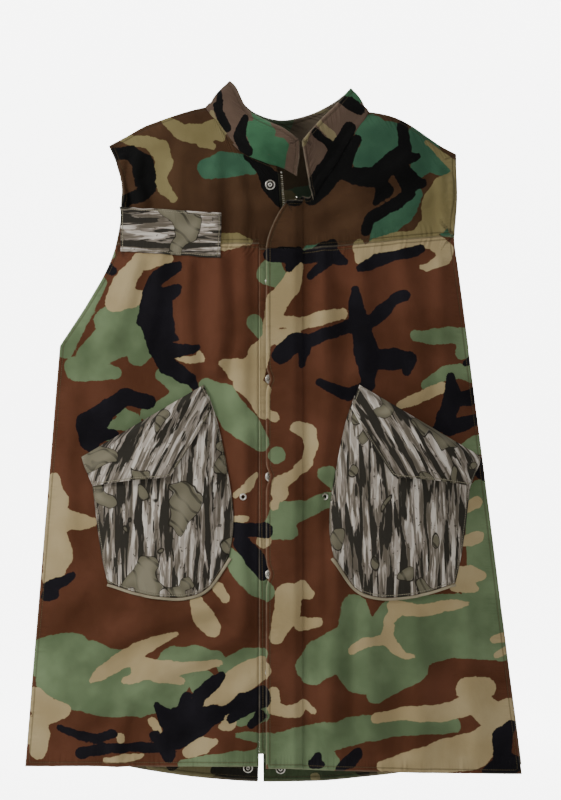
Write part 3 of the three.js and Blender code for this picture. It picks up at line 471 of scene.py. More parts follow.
def printed(x, z, table):
    """Signed distance inside each colour of a print: tan, green and black."""
    layers = []
    for colour in ("tan", "green", "black"):
        inside = np.full(np.shape(x), -FAR)
        for stroke in table[colour]:
            inside = np.maximum(inside, stroke_distance(x, z, stroke))
        layers.append(inside + GROW[colour])
    return np.stack(layers, -1)


def scattered(x, z, seed):
    """The same kind of print where the photo shows none of it: blotches of the same sizes."""
    bent_x = x + BEND_REACH * ripple(x, z, BEND_SIZE, seed + 3)
    bent_z = z + BEND_REACH * ripple(x, z, BEND_SIZE, seed + 4)
    tan = ripple(bent_x, 1.2 * bent_z, 56, seed) - 0.56
    green = ripple(bent_x, bent_z, 78, seed + 1) - 0.12
    black = ripple(0.85 * bent_x, 1.2 * bent_z, 50, seed + 5) - 0.56
    return np.stack([tan, green, black], -1) * REACH


# ---------------------------------------------------------------- meshes
def make(name, vertices, faces, attributes=None, material=None):
    mesh = bpy.data.meshes.new(name)
    mesh.from_pydata((np.asarray(vertices) * MM).tolist(), [], faces)
    mesh.update()
    for key, values in (attributes or {}).items():
        layer = mesh.attributes.new(key, "FLOAT_VECTOR", "POINT")
        layer.data.foreach_set("vector", np.asarray(values, np.float32).ravel())
    mesh.shade_smooth()
    piece = bpy.data.objects.new(name, mesh)
    bpy.context.collection.objects.link(piece)
    if material is not None:
        mesh.materials.append(material)
    return piece


HEM_RIDGE, HEM_DIP, DIP_SHARE = (2.6, 2.2), (6, 1.4), 0.35  # (distance from the edge, width) of each


def sheet(name, point, size, low, high, material, print_of=None, hems="", keep=None, bead=0.5,
          joined=""):
    """A closed sheet of cloth: point(u, v) is its reference surface, low and high its two faces along the
    normal. hems names the sides (l, r, b, t) with a turned, stitched edge; joined, those that run on into
    another piece."""
    columns, rows = size
    u, v = np.meshgrid(np.linspace(0, 1, columns + 1), np.linspace(0, 1, rows + 1))
    step = 0.002
    across = point(np.minimum(1, u + step), v) - point(np.maximum(0, u - step), v)
    up = point(u, np.minimum(1, v + step)) - point(u, np.maximum(0, v - step))
    normal = unit(np.cross(across, up))
    base = point(u, v)
    run_u = np.zeros_like(u)
    run_u[:, 1:] = np.cumsum(np.linalg.norm(np.diff(base, axis=1), axis=-1), 1)
    run_v = np.zeros_like(v)
    run_v[1:] = np.cumsum(np.linalg.norm(np.diff(base, axis=0), axis=-1), 0)
    sides = {"l": (run_u, run_v), "r": (run_u[:, -1:] - run_u, run_v)}
    sides.update({"b": (run_v, run_u), "t": (run_v[-1:] - run_v, run_u)})
    distance, along = np.full_like(u, FAR), run_v.copy()
    for side in hems:
        near, course = sides[side]
        nearer = near < distance
        distance, along = np.where(nearer, near, distance), np.where(nearer, course, along)
    ridge, dip = (np.exp(-(((distance - at) / width) ** 2)) for at, width in (HEM_RIDGE, HEM_DIP))
    swell = bead * ridge - DIP_SHARE * bead * dip
    outer = base + normal * ((high(u, v) if callable(high) else high) + swell)[..., None]
    inner = base + normal * np.broadcast_to(low(u, v) if callable(low) else low, u.shape)[..., None]
    vertices = np.concatenate([outer.reshape(-1, 3), inner.reshape(-1, 3)])
    half, wide = outer.shape[0] * outer.shape[1], columns + 1
    kept = np.ones((rows, columns), bool)
    if keep is not None:
        centre = (base[1:, 1:] + base[:-1, :-1]) / 2
        kept = keep(centre[..., 0], centre[..., 2])
    faces = []
    for j in range(rows):
        for i in range(columns):
            if not kept[j, i]:
                continue
            a, b = j * wide + i, j * wide + i + 1
            c, d = b + wide, a + wide
            faces.append((a, b, c, d))
            faces.append((d + half, c + half, b + half, a + half))
            if (j == 0 and "b" not in joined) or (j > 0 and not kept[j - 1, i]):
                faces.append((b, a, a + half, b + half))
            if (j == rows - 1 and "t" not in joined) or (j < rows - 1 and not kept[j + 1, i]):
                faces.append((d, c, c + half, d + half))
            if i == 0 or not kept[j, i - 1]:
                faces.append((a, d, d + half, a + half))
            if i == columns - 1 or not kept[j, i + 1]:
                faces.append((c, b, b + half, c + half))
    seam = np.stack([along, distance, 0 * along], -1).reshape(-1, 3)
    attributes = {"seam": np.concatenate([seam, seam + (0, 0, 1)])}
    if print_of is not None:
        pattern = print_of(base, u, v).reshape(-1, 3)
        attributes["print"] = np.concatenate([pattern, pattern])
    return make(name, vertices, faces, attributes, material)


def lathe(profile, segments=36):
    """A turned piece about local +Z through (radius, height) points, as vertices and faces."""
    turn = np.linspace(0, 2 * math.pi, segments, endpoint=False)
    rings = [np.stack([r * np.cos(turn), r * np.sin(turn), 0 * turn + h], -1) for r, h in profile]
    vertices = np.concatenate(rings)
    faces = []
    for ring in range(len(profile) - 1):
        for k in range(segments):
            a, b = ring * segments + k, ring * segments + (k + 1) % segments
            faces.append((a, b, b + segments, a + segments))
    return vertices, faces


def seated(vertices, front, x, z, offset, flip=False):
    """Puts local points on the body surface: local +Z becomes the outward normal."""
    normal = body_normal(front, np.float64(x), np.float64(z))
    right = unit(np.cross((0, 0, 1), normal))
    up = np.cross(normal, right)
    local = vertices * ((1, -1, -1) if flip else (1, 1, 1))
    return on_body(front, x, z) + normal * offset + local @ np.stack([right, up, normal])


# ---------------------------------------------------------------- materials
def srgb(code):
    parts = [int(code[i:i + 2], 16) / 255 for i in (1, 3, 5)]
    return tuple(c / 12.92 if c <= 0.04045 else ((c + 0.055) / 1.055) ** 2.4 for c in parts) + (1,)


class Shader:
    """A node material. Each call adds a node; an input is a value or another node's output."""

    def __init__(self, name):
        self.material = bpy.data.materials.new(name)
        self.material.use_nodes = True
        self.tree = self.material.node_tree
        self.surface = self.tree.nodes["Principled BSDF"]

    def put(self, socket, value):
        if isinstance(value, bpy.types.NodeSocket):
            self.tree.links.new(value, socket)
        elif value is not None:
            socket.default_value = value

    def node(self, kind, inputs=(), output=0, **settings):
        node = self.tree.nodes.new("ShaderNode" + kind)
        for key, value in settings.items():
            setattr(node, key, value)
        for key, value in dict(inputs).items():
            self.put(node.inputs[key], value)
        return node.outputs[output]

    def math(self, operation, a, b=None):
        return self.node("Math", {0: a, 1: b}, operation=operation)

    def plus(self, a, b):
        return self.math("ADD", a, b)

    def minus(self, a, b):
        return self.math("SUBTRACT", a, b)

    def times(self, a, b):
        return self.math("MULTIPLY", a, b)

    def rest_of(self, share):
        return self.math("SUBTRACT", 1.0, share)

    def place(self):
        return self.node("TexCoord", output="Object")

    def part(self, vector, axis):
        return self.node("SeparateXYZ", {0: vector}, axis)

    def attribute(self, name):
        return self.node("Attribute", output="Vector", attribute_name=name)

    def blend(self, share, a, b):
        return self.node("Mix", {"Factor": share, 6: a, 7: b}, 2, data_type="RGBA")

    def noise(self, vector, scale, detail=2.0, distortion=0.0):
        inputs = {"Vector": vector, "Scale": scale, "Detail": detail, "Distortion": distortion}
        return self.node("TexNoise", inputs, "Fac")

    def step(self, value, low, high):
        return self.node("MapRange", {0: value, 1: low, 2: high}, interpolation_type="SMOOTHSTEP")

    def finish(self, colour, roughness, height=None, **more):
        self.put(self.surface.inputs["Base Color"], colour)
        self.put(self.surface.inputs["Roughness"], roughness)
        for key, value in more.items():
            self.put(self.surface.inputs[key.replace("_", " ")], value)
        if height is not None:
            bump = self.node("Bump", {"Height": height, "Strength": 1.0, "Distance": MM}, "Normal")
            self.put(self.surface.inputs["Normal"], bump)
        return self.material


def twill(shader, place, pitch=1.1):
    """Height of a diagonal weave in millimetres, and its share from 0 to 1."""
    turned = shader.node("VectorRotate", {"Vector": place, "Angle": math.radians(28)}, rotation_type="Y_AXIS")
    warp = shader.node("TexWave", {"Vector": turned, "Scale": 0.32 / (pitch * MM), "Distortion": 0.4}, "Fac")
    weft = shader.node("TexWave", {"Vector": turned, "Scale": 0.32 / (pitch * MM), "Distortion": 0.4}, "Fac",
                       bands_direction="Z")
    return shader.times(warp, weft)


def stitching(shader, seam, inset=6.0, pitch=3.4):
    """Share of thread, depth of the sewn channel, and puckers beside it."""
    along, distance = shader.part(seam, 0), shader.part(seam, 1)
    off = shader.math("ABSOLUTE", shader.minus(distance, inset))
    line = shader.rest_of(shader.step(off, 0.35, 0.75))
    stitch = shader.math("FRACT", shader.math("DIVIDE", along, pitch))
    dash = shader.math("ABSOLUTE", shader.minus(stitch, 0.5))
    thread = shader.times(line, shader.rest_of(shader.step(dash, 0.34, 0.44)))
    channel = shader.rest_of(shader.step(off, 0.4, 1.8))
    near = shader.rest_of(shader.step(distance, 6.0, 26.0))
    wobble = shader.noise(shader.node("CombineXYZ", {0: shader.times(along, 0.14)}), 1.0, 1.0)
    pucker = shader.times(near, shader.minus(wobble, 0.5))
    return thread, channel, pucker


def print_cloth(name, ground, green, tan, black, thread, inside=0.35):
    shader = Shader(name)
    place = shader.place()
    pattern, seam = shader.attribute("print"), shader.attribute("seam")
    wide = shader.minus(shader.noise(place, 42, 2), 0.5)
    fine = shader.minus(shader.noise(place, 260, 3), 0.5)
    wander = shader.plus(shader.times(wide, 9.0), shader.times(fine, 3.0))
    patchy = shader.noise(place, 13, 3)
    colour = shader.blend(shader.step(patchy, 0.3, 0.7), srgb(ground[0]), srgb(ground[1]))
    for axis, dye in ((1, green), (0, tan), (2, black)):
        mask = shader.step(shader.plus(shader.part(pattern, axis), wander), -0.5, 0.5)
        dyed = shader.blend(shader.step(patchy, 0.3, 0.7), srgb(dye[0]), srgb(dye[1]))
        colour = shader.blend(mask, colour, dyed)
    weave = twill(shader, place)
    thread_share, channel, pucker = stitching(shader, seam)
    gaps = shader.rest_of(weave)
    # painted shade between the weave threads
    colour = shader.blend(shader.times(gaps, 0.25), colour, srgb("#0a0906"))
    worn = shader.rest_of(shader.step(shader.part(seam, 1), 0.0, 3.0))
    rub = shader.times(worn, shader.times(shader.noise(place, 90, 3), 0.4))
    colour = shader.blend(rub, colour, srgb("#a89c86"))
    back = shader.times(shader.part(seam, 2), inside)
    colour = shader.blend(back, colour, srgb("#6f6a58"))
    # painted shade in the sewn channel beside each stitch line
    colour = shader.blend(shader.times(channel, 0.35), colour, srgb("#17150f"))
    colour = shader.blend(shader.times(thread_share, 0.4), colour, srgb(thread))
    height = shader.plus(shader.times(weave, 0.12), shader.times(pucker, 3.0))
    height = shader.minus(height, shader.times(channel, 0.35))
    crease = shader.times(shader.noise(place, 34, 4, 0.6), 1.6)
    height = shader.plus(height, crease)
    return shader.finish(colour, 0.94, height, Sheen_Weight=0.02, Sheen_Roughness=0.6, Specular_IOR_Level=0.08)


def bark_cloth(name, thread="#8d8672"):
    """The bark print of the pockets: ragged streaks along the cloth, with a few broad leaves over them."""
    shader = Shader(name)
    place = shader.place()
    run, seam = shader.attribute("print"), shader.attribute("seam")
    across, along, shift = (shader.part(run, axis) for axis in range(3))

    def stretched(wide, tall, offset, detail, distortion):
        vector = {0: shader.math("DIVIDE", across, wide), 1: shader.math("DIVIDE", along, tall),
                  2: shader.plus(shift, offset)}
        return shader.noise(shader.node("CombineXYZ", vector), 1.0, detail, distortion)

    broad = stretched(11.5, 95, 0.0, 4.0, 0.35)
    narrow = stretched(5.0, 52, 7.0, 3.0, 0.3)
    leaf = stretched(46, 60, 13.0, 1.0, 0.4)
    colour = shader.blend(shader.step(narrow, 0.38, 0.6), srgb("#645c50"), srgb("#9c9287"))
    light = shader.step(shader.plus(broad, shader.times(narrow, 0.3)), 0.695, 0.72)
    pale = shader.blend(shader.step(narrow, 0.46, 0.62), srgb("#aaa094"), srgb("#d4ccc0"))
    colour = shader.blend(light, colour, pale)
    deep = shader.minus(broad, shader.times(narrow, 0.35))
    dark = shader.rest_of(shader.step(deep, 0.28, 0.31))
    colour = shader.blend(dark, colour, srgb("#33302a"))
    knots = shader.step(shader.noise(place, 150, 3), 0.66, 0.69)
    colour = shader.blend(shader.times(knots, 0.7), colour, srgb("#2e2b26"))
    cover = shader.step(leaf, 0.6, 0.612)
    rim = shader.times(shader.step(leaf, 0.588, 0.598), shader.rest_of(cover))
    vein = shader.node("TexWave", {"Vector": place, "Scale": 26.0, "Distortion": 5.0, "Detail": 1.0}, "Fac",
                       bands_direction="DIAGONAL")
    body = shader.blend(shader.step(vein, 0.86, 0.97), srgb("#6c6755"), srgb("#403d33"))
    body = shader.blend(shader.step(leaf, 0.6, 0.76), body, srgb("#8a8470"))
    colour = shader.blend(rim, colour, srgb("#2b2822"))
    colour = shader.blend(cover, colour, body)
    weave = twill(shader, place)
    thread_share, channel, pucker = stitching(shader, seam, 3.0)
    gaps = shader.rest_of(weave)
    # painted shade between the weave threads
    colour = shader.blend(shader.times(gaps, 0.2), colour, srgb("#0a0906"))
    back = shader.times(shader.part(seam, 2), 0.6)
    colour = shader.blend(back, colour, srgb("#6f6a5c"))
    # painted shade in the sewn channel beside each stitch line
    colour = shader.blend(shader.times(channel, 0.3), colour, srgb("#1c1a15"))
    colour = shader.blend(shader.times(thread_share, 0.8), colour, srgb(thread))
    height = shader.plus(shader.times(weave, 0.12), shader.times(pucker, 1.8))
    height = shader.minus(height, shader.times(channel, 0.35))
    height = shader.plus(height, shader.times(shader.noise(place, 38, 3, 0.5), 1.2))
    return shader.finish(colour, 0.92, height, Sheen_Weight=0.02, Specular_IOR_Level=0.08)


def plain_cloth(name, light, dark, thread):
    shader = Shader(name)
    place, seam = shader.place(), shader.attribute("seam")
    colour = shader.blend(shader.step(shader.noise(place, 30, 4), 0.3, 0.7), srgb(dark), srgb(light))
    weave = twill(shader, place, 1.6)
    thread_share, channel, pucker = stitching(shader, seam, 2.4)
    colour = shader.blend(shader.times(weave, 0.2), colour, srgb("#8f8a78"))
    colour = shader.blend(shader.times(thread_share, 0.7), colour, srgb(thread))
    height = shader.plus(shader.times(weave, 0.2), shader.times(pucker, 1.2))
    height = shader.minus(height, shader.times(channel, 0.3))
    return shader.finish(colour, 0.92, height, Sheen_Weight=0.02, Specular_IOR_Level=0.08)


def metal(name, clean, tarnish, roughness):
    shader = Shader(name)
    place = shader.place()
    stain = shader.noise(place, 220, 4)
    scratch = shader.noise(place, 2600, 2)
    colour = shader.blend(shader.step(stain, 0.4, 0.66), srgb(clean), srgb(tarnish))
    gloss = shader.plus(shader.times(stain, 0.25), roughness)
    height = shader.plus(shader.times(scratch, 0.03), shader.times(stain, 0.05))
    return shader.finish(colour, gloss, height, Metallic=1.0)


CAMO = print_cloth("camouflage_cloth", ("#53311f", "#643d2b"), ("#5c6c4d", "#788a66"), ("#a4916a", "#b5a37c"),
                   ("#110f14", "#1b191f"), "#6b5d42")
YOKE_CAMO = print_cloth("yoke_camouflage_cloth", ("#3f2a1a", "#523a27"), ("#335440", "#446a50"),
                        ("#776c47", "#887d56"), ("#080808", "#0e0e0e"), "#4e4029")
COLLAR_CAMO = print_cloth("collar_camouflage_cloth", ("#56453a", "#6c594c"), ("#2c5038", "#4c7a58"),
                          ("#7b7050", "#8e8262"), ("#0a0a0a", "#131212"), "#5c4f3c")
# painted shade: a darker copy of the camouflage cloth for the inner face of the tail, shaded under the front hem
TAIL_SHADED_CAMO = print_cloth("tail_camouflage_cloth", ("#453c2a", "#544a35"), ("#2c3a26", "#425238"),
                        ("#766e4c", "#877f5c"), ("#09090c", "#101015"), "#5e553e", 0.1)
BARK = bark_cloth("bark_print_cloth")
FACING_CLOTH = plain_cloth("inner_facing_cloth", "#565342", "#45422f", "#7b7560")
BINDING = plain_cloth("pocket_binding_cloth", "#9b9179", "#7d745f", "#b3a88e")
TAPE = plain_cloth("zip_tape_cloth", "#1f201b", "#15150f", "#35352a")
BRASS = metal("zip_brass_worn", "#d2cbb8", "#8a826e", 0.34)
NICKEL = metal("snap_metal_worn", "#d8d4ca", "#8f897c", 0.22)
# painted shade: a dark copy of the snap metal for the hollows of the studs
SHADED_HOLLOW_METAL = metal("snap_metal_hollow", "#4a463f", "#201e1a", 0.5)


# ---------------------------------------------------------------- lines on the shell
SEAM_LAP, LAP_LIFT = 1.6, 0.6  # a yoke lies this far over the panel sewn to it, and this much higher
UNDERLAP_BUTT = 0.9 * GAP  # the underlap reaches the right front panel, so that no light shows between them


def yoke_z(x):
    rise = np.maximum(0, x - FLAP_HINGE_X - 2)
    return np.where(x < UNDERLAP_X, -YOKE_DEPTH, -YOKE_DEPTH - FLAP_SEAM_DROP + YOKE_SLOPE * rise)


def front_hem_z(x):
    return np.where(x < 0, -BODY_LENGTH - 6 * (x / 378) ** 2, -BODY_LENGTH - 3 - 0.04 * x)


def back_hem_z(x):
    return -BODY_LENGTH - 3 - TAIL_DROP * np.clip(1 - (x / TAIL_WIDTH) ** 2, 0, 1)


chain_x = {
    "right": curve([(-ZIP_SPLIT, ZIP_X), (-142, ZIP_X - 1.5), (-120, ZIP_X - 3), (-CHAIN_TOP["right"], ZIP_X - 6)]),
    "left": curve([(-ZIP_SPLIT, ZIP_X), (-142, ZIP_X + 1.6), (-CHAIN_TOP["left"], ZIP_X + 14)]),
}


def inner_edge(side, z):
    extra = NECK_EDGE * smooth((z + ZIP_SPLIT + 30) / 30)
    return chain_x[side](z) + SIDES[side]["sign"] * (PANEL_EDGE + extra)


def yoke_top_z(side, x):
    out = np.abs(x)
    return np.where(out > NECK_X[side], shoulder_line[side](out) - GAP, neckline[side](x))


def bend(piece, body):
    """Cloth that hangs from the yoke seam: bakes its transform into its mesh."""
    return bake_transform(piece)


LEAST_SHARE = 0.32  # of width times length, for the area of a cut that is not a rectangle


def bend_flap(piece):
    """What sits on the storm flap low down, and on the left front above that: bakes its transform into its mesh."""
    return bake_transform(piece)


def cut(piece):
    """Works out the width and length of a sheet's cloth, measured on one of its faces, and keeps neither."""
    mesh = piece.data
    area = sum(face.area for face in mesh.polygons) / 2
    places = np.array([v.co for v in mesh.vertices])
    spans = sorted(np.ptp(places, axis=0))[::-1]
    width, length = float(spans[1]), float(spans[0])
    if area > width * length:
        width = area / length
    if area < LEAST_SHARE * width * length:
        width = area / (LEAST_SHARE * length)


def dress(piece, node, body, move=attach):
    """A cloth piece stands for its CAD node, which is hidden; move is given the piece and a body, and the cloth's
    size is worked out.
    """
    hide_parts(node)
    move(piece, body)
    cut(piece)


def front_print_and_shade(base, u, v):
    return printed(base[..., 0], base[..., 2], PRINT_AND_SHADE)


def yoke_point(side):
    sign, (tip_x, tip_z) = SIDES[side]["sign"], SIDES[side]["shoulder"][-1]
    step = UNDERLAP_X if side == "right" else FLAP_HINGE_X + 12
    neck_end = -CHAIN_TOP["right"] + 5 if side == "right" else -CHAIN_TOP["left"] + 1
    columns = np.array([0, 6, 9, 10, 12])

    def point(u, row):
        v = 1 - (1 - row) ** 1.5
        at = (u if sign < 0 else 1 - u) * columns[-1]
        end_z = mix(yoke_z(np.float64(ZIP_X)), neck_end, v)
        outer = sign * edge_x(side, mix(-YOKE_DEPTH, tip_z, v))
        places = [outer, sign * NECK_X[side] + 0 * v, step + sign * GAP + 0 * v, step - sign * 2 * GAP + 0 * v,
                  inner_edge(side, end_z)]
        x = np.zeros_like(at)
        for i in range(1, len(columns)):
            share = (at - columns[i - 1]) / (columns[i] - columns[i - 1])
            inside = (share >= 0) & ((share <= 1) if i == len(columns) - 1 else (share < 1))
            x = np.where(inside, mix(places[i - 1], places[i], share), x)
        return on_body(True, x, mix(yoke_z(x) - SEAM_LAP, yoke_top_z(side, x), v))

    return point


def back_yoke_point(u, row):
    v = 1 - (1 - row) ** 1.5
    across = 2 * u - 1
    out = np.abs(across)

    def place(side):
        sign, tip = SIDES[side]["sign"], SIDES[side]["shoulder"][-1]
        outer = sign * edge_x(side, mix(-YOKE_DEPTH, tip[1], v))
        neck = sign * NECK_X[side]
        return np.where(out < 0.5, neck * out / 0.5, mix(neck, outer, (out - 0.5) / 0.5))

    x = np.where(across > 0, place("right"), place("left"))
    side_top = [np.where(np.abs(x) > NECK_X[s], shoulder_line[s](np.abs(x)) - GAP, neckline["back"](x))
                for s in ("right", "left")]
    return on_body(False, x, mix(-YOKE_DEPTH - SEAM_LAP, by_side(x, *side_top), v))


def lower_point(front, left, right, top, hem):
    def point(u, v):
        across = u if front else 1 - u
        nominal = mix(-BODY_LENGTH, -YOKE_DEPTH, v)
        x = mix(left(nominal), right(nominal), across)
        return on_body(front, x, mix(hem(x), top(x), v))

    return point


# ---------------------------------------------------------------- shell
def outside_eyelet(side):
    x0 = EYELETS[side]
    return lambda x, z: np.hypot(x - x0, z + WAIST_DEPTH) > EYELET_HOLE + 0.4


def in_one_piece(x, z):
    return ~((np.abs(x - TAIL_SPLIT_X) < TAIL_SPLIT_WIDTH / 2) & (z < -TAIL_SPLIT_TOP))


def back_print(base, u, v):
    x, z = base[..., 0], base[..., 2]
    tail = printed(x, z, TAIL_PRINT)
    return np.where((z < TAIL_PRINT_TOP)[..., None], tail, scattered(x, z, SEED["back_panel"]))


def add_shell():
    for side, hems in (("right", "lbt"), ("left", "rbt")):
        name = f"{side}_front_yoke"
        piece = sheet(f"{name}_cloth", yoke_point(side), (96, 52), LAP_LIFT, CLOTH + LAP_LIFT, YOKE_CAMO,
                      front_print_and_shade, hems)
        dress(piece, name, "root")
    yoke = sheet("back_yoke_cloth", back_yoke_point, (130, 50), LAP_LIFT, CLOTH + LAP_LIFT, YOKE_CAMO,
                 lambda base, u, v: scattered(base[..., 0], base[..., 2], SEED["back_yoke"]), "lrb")
    dress(yoke, "back_yoke", "root")

    def panel_top(x):
        return yoke_z(x) - SEAM

    def outer_right(z):
        return -edge_x("right", z) + GAP

    def outer_left(z):
        return edge_x("left", z) - GAP

    panels = [
        ("right_front_panel", outer_right, level(UNDERLAP_X - GAP), front_hem_z, (76, 190), "right", "lbt"),
        ("left_front_panel", level(ZIP_X + PANEL_EDGE), outer_left, front_hem_z, (76, 190), "left", "rbt"),
        ("right_underlap", level(UNDERLAP_X - UNDERLAP_BUTT), level(ZIP_X - PANEL_EDGE), level(-ZIP_END - 1),
         (10, 180), "right", "lb"),
    ]
    for name, left, right, hem, size, side, hems in panels:
        point = lower_point(True, left, right, panel_top, hem)
        keep = None if name == "right_underlap" else outside_eyelet(side)
        piece = sheet(f"{name}_cloth", point, size, 0, CLOTH, CAMO, front_print_and_shade, hems, keep)
        dress(piece, name, f"{side}_front", bend)

    point = lower_point(False, outer_right, outer_left, level(-YOKE_DEPTH - SEAM), back_hem_z)
    back = sheet("back_panel_cloth", point, (152, 180), 0, CLOTH, CAMO, back_print, "lrbt", in_one_piece)
    back.data.materials.append(TAIL_SHADED_CAMO)
    # painted shade: the tail's inner faces below TAIL_SHADE_TOP take the darker copy of the cloth
    for face in back.data.polygons:
        if face.center.z < TAIL_SHADE_TOP * MM and face.normal.y < 0:
            face.material_index = 1
    dress(back, "back_panel", "root")


def band(front, left, right, low, high):
    def point(u, v):
        x = mix(left, right, u if front else 1 - u)
        return on_body(front, x, mix(low(x), high(x), v))

    return point


def add_bands():
    inset, rise = 8, 1.5
    low, high = level(-WAIST_DEPTH - CASING_HEIGHT / 2), level(-WAIST_DEPTH + CASING_HEIGHT / 2)
    waist_right, waist_left = seam_x("right", -WAIST_DEPTH) - inset, seam_x("left", -WAIST_DEPTH) - inset
    hem_right, hem_left = seam_x("right", -BODY_LENGTH) - inset, seam_x("left", -BODY_LENGTH) - inset

    def above(hem, height):
        return lambda x: hem(x) + height

    front_low, front_high = above(front_hem_z, rise), above(front_hem_z, HEM_HEIGHT)
    back_low, back_high = above(back_hem_z, rise), above(back_hem_z, HEM_HEIGHT)
    beside_zip = ZIP_X + TAPE_EDGE + TAPE_WIDTH + 2
    split_right, split_left = TAIL_SPLIT_X - TAIL_SPLIT_WIDTH / 2, TAIL_SPLIT_X + TAIL_SPLIT_WIDTH / 2
    rows = [
        ("right_waist_casing", True, -waist_right, EYELETS["right"] - 4 * EYELET_HOLE, low, high, "right_front"),
        ("left_waist_casing", True, EYELETS["left"] + 4 * EYELET_HOLE, waist_left, low, high, "left_front"),
        ("back_waist_casing", False, -waist_right, waist_left, low, high, "root"),
        ("right_hem_facing", True, -hem_right, UNDERLAP_X - 1, front_low, front_high, "right_front"),
        ("left_hem_facing", True, beside_zip, hem_left, front_low, front_high, "left_front"),
        ("right_tail_facing", False, -hem_right, split_right, back_low, back_high, "root"),
        ("left_tail_facing", False, split_left, hem_left, back_low, back_high, "root"),
    ]
    for name, front, left, right, bottom, top, body in rows:
        point = band(front, left, right, bottom, top)
        columns = int(abs(right - left) / 4)
        # the tail facings also take the darker copy of the cloth, as painted shade
        cloth, pattern = (TAIL_SHADED_CAMO, back_print) if "tail" in name else (FACING_CLOTH, front_print_and_shade)
        piece = sheet(f"{name}_cloth", point, (columns, 6), -BAND_GAP - FACING, -BAND_GAP, cloth, pattern, "bt",
                      bead=0)
        dress(piece, name, body)


# ---------------------------------------------------------------- collar
def collar_point():
    base = np.array([on_body(bool(face), x, z) for x, z, face in COLLAR_BASE])
    base[:, 2] += COLLAR_STAND_OFF
    foot, head = loop_curve(base), loop_curve(COLLAR_TOP)

    def point(u, v):
        low, high = foot(u), head(u)
        rise = mix(-COLLAR_TUCK, 1, v)
        place = mix(low, high, rise[..., None])
        roll = np.sin(math.pi * np.clip(rise, 0, 1))
        swell = 4.0 * roll + 3.4 * ripple(180 * u, 40 * v, 26, 31) * roll + 3.0 * smooth(1 - rise / 0.12)
        outward = unit(np.stack([place[..., 0] - 6, place[..., 1], 0 * u], -1))
        return place + outward * swell[..., None]

    return point


def collar_print(base, u, v):
    x, y, z = base[..., 0], base[..., 1], base[..., 2]
    return np.where((y < COLLAR_PRINT_BACK)[..., None], printed(x, z, COLLAR_PRINT), scattered(x, z, SEED["collar"]))


def add_collar():
    point = collar_point()
    layers = [("collar_outer", SEAM, SEAM + CLOTH), ("collar_lining", -SEAM - CLOTH, -SEAM)]
    for name, low, high in layers:
        piece = sheet(f"{name}_cloth", point, (240, 22), low, high, COLLAR_CAMO, collar_print, "ltr", bead=0.3)
        dress(piece, name, "root")

    route = loop_curve([(-16, 24.5, -44), (-14, 22, -58), (14, 22, -60), (22, 24.5, -46)])
    strap = sheet("hanger_loop_cloth", lambda u, v: route(u) + np.stack([0 * u, 0 * u, 5 * v - 2.5], -1), (40, 3),
                  -0.6, 0.6, TAPE, None, "bt", bead=0)
    dress(strap, "hanger_loop", "root")


# ---------------------------------------------------------------- storm flap
GAPE, GAPE_HEIGHT = 5.5, 11  # how far the free edge draws back beside a snap, and over what height


def flap_point(left, low, high):
    right = FLAP_HINGE_X + 1

    def point(u, v):
        x = mix(left(v), right, u)
        z = mix(low, high(x), v)
        lift = mix(CLOTH + GAP, FLAP_LIFT, smooth((FLAP_HINGE_X + 1 - x) / FLAP_RAMP))
        return on_body(True, x, z) + body_normal(True, x, z) * lift[..., None]

    return point


def add_storm_flap():
    seam_z = float(yoke_z(np.float64(ZIP_X)))
    rolled = flap_point(lambda v: mix(FLAP_EDGE_X, ZIP_X, v**1.6), seam_z, level(-FLAP_TOP))
    top = sheet("storm_flap_top_cloth", rolled, (16, 30), 0, CLOTH, YOKE_CAMO, front_print_and_shade, "lt", bead=0.8)
    dress(top, "storm_flap_top", "root")
    hem, high = float(front_hem_z(np.float64(0))), seam_z - SEAM
    gaping = [-SNAP_FIRST - k * SNAP_PITCH for k in (2, 3, 4)]

    def edge(low, top):
        """The free edge, which gapes a little beside the snaps lower down."""
        def at(v):
            z = mix(low, top, v)
            return FLAP_EDGE_X + sum(GAPE * np.exp(-(((z - snap_z) / GAPE_HEIGHT) ** 2)) for snap_z in gaping)

        return at

    upper = sheet("storm_flap_upper_cloth", flap_point(edge(BEND_END, high), BEND_END, level(high)),
                  (16, 56), 0, CLOTH, CAMO, front_print_and_shade, "l", bead=0.8, joined="b")
    lower = sheet("storm_flap_lower_cloth", flap_point(edge(hem, BEND_END), hem, level(BEND_END)),
                  (16, 160), 0, CLOTH, CAMO, front_print_and_shade, "lb", bead=0.8, joined="t")
    bend(upper, "left_front")
    bend_flap(lower)
    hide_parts("storm_flap")
    for piece in (upper, lower):
        cut(piece)


# ---------------------------------------------------------------- zip
TOOTH_PITCH = 3.0
TOOTH_PLAN = [(0.6, 0.5), (1.2, 0.85), (1.7, 0.5), (3.4, 0.72), (3.4, -0.72), (1.7, -0.5), (1.2, -0.85), (0.6, -0.5)]
TOOTH_FRONT, TOOTH_BACK, TOOTH_CENTRE, TOOTH_TRIM = 1.9, -0.9, 1.75, 0.92
STOP = [(0, 0), (1.0, 0.05), (1.35, 0.5), (1.35, 1.4), (1.0, 1.9), (0.5, 2.1), (0, 2.15)]


